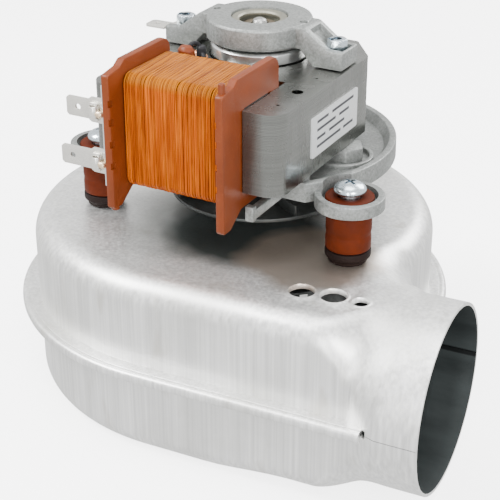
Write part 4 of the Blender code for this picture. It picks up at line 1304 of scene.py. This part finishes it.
class FAN_OT_terminals(bpy.types.Operator):
    """Set the two blade terminals and their crimped wire ends, and lead the coil's ends to the cut-out"""
    bl_idname = "fan.terminals"
    bl_label = "Terminals and Leads"

    def execute(self, context):
        depth = -0.0580
        for name, tip, height in (("upper", -0.0355, 0.1078), ("lower", -0.0385, 0.0914)):
            blade = [(tip, -0.0024, 0.0005), (tip + 0.0008, -0.00315, 0.0003), (-0.0275, -0.00315, 0.0003),
                     (-0.0265, -0.0040, 0.0003), (-0.0209, -0.0040, 0), (-0.0209, 0.0040, 0),
                     (-0.0265, 0.0040, 0.0003), (-0.0275, 0.00315, 0.0003), (tip + 0.0008, 0.00315, 0.0003),
                     (tip, 0.0024, 0.0005)]
            outline = [(x, z + height, radius) for x, z, radius in blade]
            hole = circle(0.00095, tip + 0.0042, height, 24)
            mesh = front_on(slab("blade", [softened(outline, 0), hole], -depth - 0.0004, -depth + 0.0004,
                                 0.00012))
            wings = [block("wing", (-0.0262, depth - 0.0021, height + z - 0.0004),
                           (-0.0232, depth - 0.0003, height + z + 0.0004), 0.0002) for z in (-0.0024, 0.0024)]
            barrel = lathe("barrel", [(0.0009, 0.0017), (0.0014, 0.0020), (0.0015, 0), (0.0014, -0.0020),
                                      (0.0009, -0.0017)], 0.0002, 24)
            moved(barrel, -0.0247, depth - 0.0016, height)
            mesh = joined("blade", mesh, *wings, barrel)
            smooth(mesh, 35)
            piece(f"{name}_blade_terminal", mesh, "tinned_brass", f"{name}_terminal")
            drop = [(0.0, 0.0014), (0.0009, 0.0011), (0.0013, 0.0002), (0.0011, -0.0007), (0, -0.0011)]
            bead = lathe("bead", drop, 0.0002, 24)
            spot = Matrix.Translation((-0.0226, depth - 0.0015, height - 0.0006))
            tilt = Matrix.Rotation(math.radians(70), 4, "X")
            bead.transform(spot @ tilt @ Matrix.Diagonal((1.2, 0.9, 1.1, 1)))
            lead = strand("lead", [(-0.0262, depth - 0.0016, height + 0.0006),
                                   (-0.0240, depth - 0.0018, height),
                                   (-0.0226, depth - 0.0012, height - 0.0008),
                                   (-0.0212, depth + 0.0002, height - 0.0022),
                                   (-0.0200, -0.0560, height - 0.0030)], 0.00035)
            piece(f"{name}_soldered_end", joined("end", bead, lead), "copper", finish="solder")
        strip = block("strip", (-0.0222, -0.0592, 0.0838), (-0.0206, -0.0574, 0.1165), 0.0003)
        piece("terminal_strip", strip, "tinned_brass", finish="rotor_aluminium")
        cap = lathe("cap", [(0, 0.1200), (0.0014, 0.1197), (0.0023, 0.1184), (0.0024, 0.1160),
                            (0.0021, 0.1134), (0, 0.1134)], 0.0006, 40)
        cap.transform(Matrix.Diagonal((1.25, 0.95, 1, 1)))
        piece("splice_cover", moved(cap, -0.0137, -0.0235), "bobbin_nylon", "splice_cap")
        fuse = lathe("fuse", [(0, 0.1190), (0.0012, 0.1190), (0.0016, 0.1184), (0.0016, 0.1141),
                              (0.0012, 0.1135), (0, 0.1135)], 0.0004, 40)
        piece("thermal_cut_out", moved(fuse, -0.0108, -0.0190), "black_plastic", "thermal_fuse")
        sleeve = strand("sleeve", [(-0.0137, -0.0235, 0.1170), (-0.0135, -0.0228, 0.1192),
                                   (-0.0128, -0.0208, 0.1202), (-0.0118, -0.0190, 0.1196),
                                   (-0.0110, -0.0188, 0.1180), (-0.0096, -0.0200, 0.1160),
                                   (-0.0078, -0.0222, 0.1150)], 0.0007)
        piece("lead_sleeve", sleeve, "black_plastic")
        wires = [strand("wire", [(-0.0080, -0.0220, 0.1151), (-0.0062, -0.0240, 0.1150 + lift),
                                 (-0.0030, -0.0252, 0.1158), (0.0020, -0.0257, 0.1166 - lift),
                                 (0.0080, -0.0258, 0.1162), (0.0130, -0.0257, 0.1168)], 0.00032)
                 for lift in (0.0, 0.0008)]
        piece("coil_tails", joined("tails", *wires), "copper", finish="tinned_brass")
        return {"FINISHED"}


# ---------------------------------------------------------------- rotor and wheel
class FAN_OT_rotor(bpy.types.Operator):
    """Turn the shaft, stack the squirrel-cage rotor and cast its end rings"""
    bl_idname = "fan.rotor"
    bl_label = "Rotor"

    def execute(self, context):
        sizes = context.scene.fan_sizes
        shaft = lathe("shaft", [(0, 0.1246), (0.0012, 0.12445), (0.0021, 0.1240), (0.0025, 0.1232),
                                (0.0025, 0.0346), (0.0020, 0.0340), (0, 0.0340)], 0.0002, 48)
        turning_piece("motor_shaft", shaft, "ground_steel", "shaft")
        core = stack("core", [circle(0.0160, sides=72), circle(0.0028, sides=32)], sizes.sheet_count)
        turning_piece("rotor_laminations", core, "laminated_steel", "rotor_core")
        top, bottom = 0.1172, 0.0836
        upper = lathe("end_ring", [(0.0095, STACK_TOP + 0.0003), (0.0095, top), (0.0152, top),
                                   (0.0159, top - 0.0007), (0.0159, STACK_TOP + 0.0003)], 0.0003, 96)
        lower = lathe("end_ring", [(0.0095, bottom), (0.0095, STACK_BOTTOM - 0.0003),
                                   (0.0159, STACK_BOTTOM - 0.0003), (0.0159, bottom + 0.0006),
                                   (0.0153, bottom)], 0.0003, 96)
        turning_piece("upper_cage_ring", upper, "rotor_aluminium", "upper_end_ring")
        turning_piece("lower_cage_ring", lower, "rotor_aluminium", "lower_end_ring")
        disc = lathe("disc", [(0.0028, 0.0702), (0.0055, 0.0702), (0.0055, 0.0667), (0.0292, 0.0664),
                              (0.0299, 0.0668), (0.0300, 0.0655), (0.0028, 0.0655)], 0.0002, 96)
        bends = [(step / 6, 0.0022 * (step / 6) ** 2) for step in range(7)]
        edges = [Vector((0.0160 + 0.0129 * share, bend + side * 0.0003)) for side,
                 run in ((-1, bends), (1, bends[::-1])) for share, bend in run]
        vane = slab("vane", [edges], 0.0662, 0.0700, 0.0001)
        places = [((0, 0, 0), turn) for turn in full_turn(8)]
        vanes = copies("vanes", vane, places, "rotor_aluminium")
        turning_piece("motor_cooling_disc", joined("disc", disc, vanes), "rotor_aluminium", "cooling_disc",
                      finish="smoked_aluminium")
        return {"FINISHED"}


class FAN_OT_impeller(bpy.types.Operator):
    """Build the blower wheel: back plate, curved blades, shroud ring, hub and nut"""
    bl_idname = "fan.impeller"
    bl_label = "Blower Wheel"

    def execute(self, context):
        sizes = context.scene.fan_sizes
        top, low, radius = 0.050, 0.049, 0.050
        back = tube("back", 0.0060, radius, low, top, 0.0003, 128)
        half, steps = 0.0005, 12
        outline = []
        for side in (-1, 1):
            edge = []
            for step in range(steps + 1):
                share = step / steps
                reach = 0.0190 + (radius - 0.0195) * share
                lean = math.radians(-26) * share * share
                edge.append(Vector((reach * math.cos(lean), reach * math.sin(lean) + side * half)))
            outline += edge if side < 0 else list(reversed(edge))
        blade = slab("blade", [outline], 0.0192, low, 0.0001)
        count = sizes.blade_count
        # Blades, back plate, rivets and shroud take a dark grey that paints the shade inside the housing.
        blades = copies("blades", blade, [((0, 0, 0), turn) for turn in full_turn(count)], "sooted_wheel")
        rivet = lathe("rivet", [(0, 0.0506), (0.0009, 0.0505), (0.0014, top + 0.0001), (0.0014, top - 0.0003),
                                (0, top - 0.0003)], 0.0002, 16)
        spots = [((reach * math.cos(turn), reach * math.sin(turn), 0), 0.0) for turn in full_turn(count)
                 for reach in (0.026, 0.040)]
        rivets = copies("rivets", rivet, spots, "sooted_wheel")
        turning_piece("wheel_back_and_blades", joined("wheel", back, blades, rivets), "pressed_sheet",
                      "impeller_wheel", finish="sooted_wheel")
        shroud = tube("shroud", 0.0330, radius, 0.0177, 0.0187, 0.0003, 128)
        turning_piece("wheel_shroud", shroud, "pressed_sheet", "impeller_shroud", finish="sooted_wheel")
        hub = lathe("hub", [(0.0028, 0.0520), (0.0080, 0.0520), (0.0080, 0.0503), (0.0057, 0.0503),
                            (0.0057, 0.0405), (0.0028, 0.0405)], 0.0004, 64)
        turning_piece("wheel_hub", hub, "sintered_bronze", "impeller_hub")
        nut = bevelled(tube("nut", 0.0028, 0.0046, 0.0362, 0.0402, 0, 6), 0.0003)
        turning_piece("wheel_nut", nut, "zinc_plate", "impeller_nut")
        return {"FINISHED"}


class FAN_OT_frame_finishes(bpy.types.Operator):
    """Give every frame part that still shows its own finish"""
    bl_idname = "fan.frame_finishes"
    bl_label = "Frame Finishes"

    def execute(self, context):
        slots = {part["node"]: part["material_slot"] for part in frame["record"]["subparts"]}
        for name, node in frame["nodes"].items():
            if not node.hide_render:
                node.data.materials.clear()
                node.data.materials.append(finish_of("dipped_steel" if name == "coil_core" else slots[name]))
        return {"FINISHED"}


# ---------------------------------------------------------------- stage
class FAN_OT_stage(bpy.types.Operator):
    """Set the pale floor, the soft lights and the camera"""
    bl_idname = "fan.stage"
    bl_label = "Studio Stage"

    def execute(self, context):
        surface = Surface("studio_floor", 0.0, 0.7, 0.2)
        surface.colour(surface.fade(surface.noise(3), 0.3, 0.7, 1.0, (0.90, 0.90, 0.90, 1),
                                    (0.93, 0.93, 0.93, 1)))
        surface.shader.inputs["Emission Color"].default_value = (1, 1, 1, 1)
        surface.shader.inputs["Emission Strength"].default_value = 3.2
        half = 12.0
        mesh = bpy.data.meshes.new("floor")
        mesh.from_pydata([(-half, -half, 0), (half, -half, 0), (half, half, 0), (-half, half, 0)], [],
                         [(0, 1, 2, 3)])
        mesh.materials.append(surface.material)
        floor = link("studio_floor", mesh)
        floor.visible_diffuse = floor.visible_glossy = False
        world = bpy.data.worlds.new("studio")
        world.use_nodes = True
        background = world.node_tree.nodes["Background"].inputs
        background["Color"].default_value = (1.0, 1.0, 1.0, 1)
        background["Strength"].default_value = 1.3
        bpy.context.scene.world = world
        target = Vector((0, 0, 0.05))
        for name, place, size, power in (("key", (-0.55, -0.35, 0.75), 0.4, 15.0),
                                         ("fill", (0.60, -0.60, 0.45), 0.3, 8.0),
                                         ("strip", (0.15, -0.95, 0.30), 0.07, 5.0),
                                         ("rim", (0.30, 0.70, 0.60), 0.5, 7.0),
                                         ("top", (0.0, 0.0, 0.95), 0.5, 5.0)):
            light = bpy.data.lights.new(name, "AREA")
            light.size = size
            if name == "strip":
                light.shape = "RECTANGLE"
                light.size_y = 0.7
            light.energy = power
            lamp = bpy.data.objects.new(name, light)
            lamp.location = place
            lamp.rotation_euler = (target - Vector(place)).to_track_quat("-Z", "Y").to_euler()
            bpy.context.scene.collection.objects.link(lamp)
        turn, rise = math.radians(25.4), math.radians(27)
        back = Vector((math.sin(turn) * math.cos(rise), -math.cos(turn) * math.cos(rise), math.sin(rise)))
        camera = bpy.data.cameras.new("camera")
        camera.lens = 93.6
        camera.sensor_width = 36
        eye = bpy.data.objects.new("camera", camera)
        eye.location = (0.17065, -0.3663, 0.2505)
        eye.rotation_euler = (-back).to_track_quat("-Z", "Y").to_euler()
        bpy.context.scene.collection.objects.link(eye)
        bpy.context.scene.camera = eye
        return {"FINISHED"}


# ---------------------------------------------------------------- add-on
def length(name, description, default):
    return FloatProperty(name=name, description=description, default=default, min=0.0, precision=5,
                         unit="LENGTH", subtype="DISTANCE")


def shade(name, description, default):
    return FloatVectorProperty(name=name, description=description, default=default, min=0.0, max=1.0,
                               subtype="COLOR", size=3)


class FanSizes(bpy.types.PropertyGroup):
    """Sizes a maker would change"""
    sheet: length("Sheet", "Thickness of the housing's sheet", 0.001)
    seam_reach: length("Seam Reach", "How far the rolled seam stands out", 0.006)
    seam_end: length("Seam End", "Where the rolled seam stops, from the shaft along X", 0.0675)
    rubber_radius: length("Rubber Radius", "Radius of a damper's body", 0.0072)
    boss_radius: length("Boss Radius", "Radius of the upper bearing boss", 0.0172)
    winding_width: length("Winding Width", "Width of the coil between its flanges", 0.0344)
    wire_radius: length("Wire Radius", "Radius of the enamelled wire", 0.00026)
    wire_turns: IntProperty(name="Turns", description="Turns across one layer of the coil", default=64, min=2)
    sheet_count: IntProperty(name="Laminations", description="Sheets in the stator and the rotor", default=52,
                             min=2)
    blade_count: IntProperty(name="Blades", description="Blades on the blower wheel", default=10, min=2)


class FanColours(bpy.types.PropertyGroup):
    """Base colours of the main finishes"""
    pressed_sheet: shade("Sheet", "Aluminised housing sheet", (0.88, 0.88, 0.865))
    cast_alloy: shade("Casting", "Die-cast brackets", (0.27, 0.28, 0.27))
    laminated_steel: shade("Laminations", "Electrical steel", (0.25, 0.255, 0.24))
    bobbin_nylon: shade("Bobbin", "Moulded bobbin", (0.140, 0.026, 0.0035))
    enamelled_wire: shade("Wire", "Enamelled copper wire", (0.50, 0.096, 0.0004))


OPERATORS = (FAN_OT_housing, FAN_OT_dampers, FAN_OT_lower_bracket, FAN_OT_upper_bracket, FAN_OT_bearings,
             FAN_OT_fasteners, FAN_OT_stator, FAN_OT_bobbin, FAN_OT_winding, FAN_OT_terminals, FAN_OT_rotor,
             FAN_OT_impeller, FAN_OT_frame_finishes, FAN_OT_stage)


class FAN_PT_panel(bpy.types.Panel):
    """Sizes, colours and pieces of the exhaust fan"""
    bl_label = "Exhaust Fan"
    bl_idname = "FAN_PT_panel"
    bl_space_type = "VIEW_3D"
    bl_region_type = "UI"
    bl_category = "Exhaust Fan"

    def draw(self, context):
        layout = self.layout
        for group in (context.scene.fan_sizes, context.scene.fan_colours):
            box = layout.box()
            for name in group.__annotations__:
                box.prop(group, name)
        for operator in OPERATORS:
            layout.operator(operator.bl_idname)


CLASSES = (FanSizes, FanColours, *OPERATORS, FAN_PT_panel)


def register():
    for item in CLASSES:
        bpy.utils.register_class(item)
    bpy.types.Scene.fan_sizes = PointerProperty(type=FanSizes)
    bpy.types.Scene.fan_colours = PointerProperty(type=FanColours)


def unregister():
    del bpy.types.Scene.fan_colours
    del bpy.types.Scene.fan_sizes
    for item in reversed(CLASSES):
        bpy.utils.unregister_class(item)


def main():
    register()
    for operator in OPERATORS:
        family, action = operator.bl_idname.split(".")
        getattr(getattr(bpy.ops, family), action)()


if __name__ == "__main__":
    main()
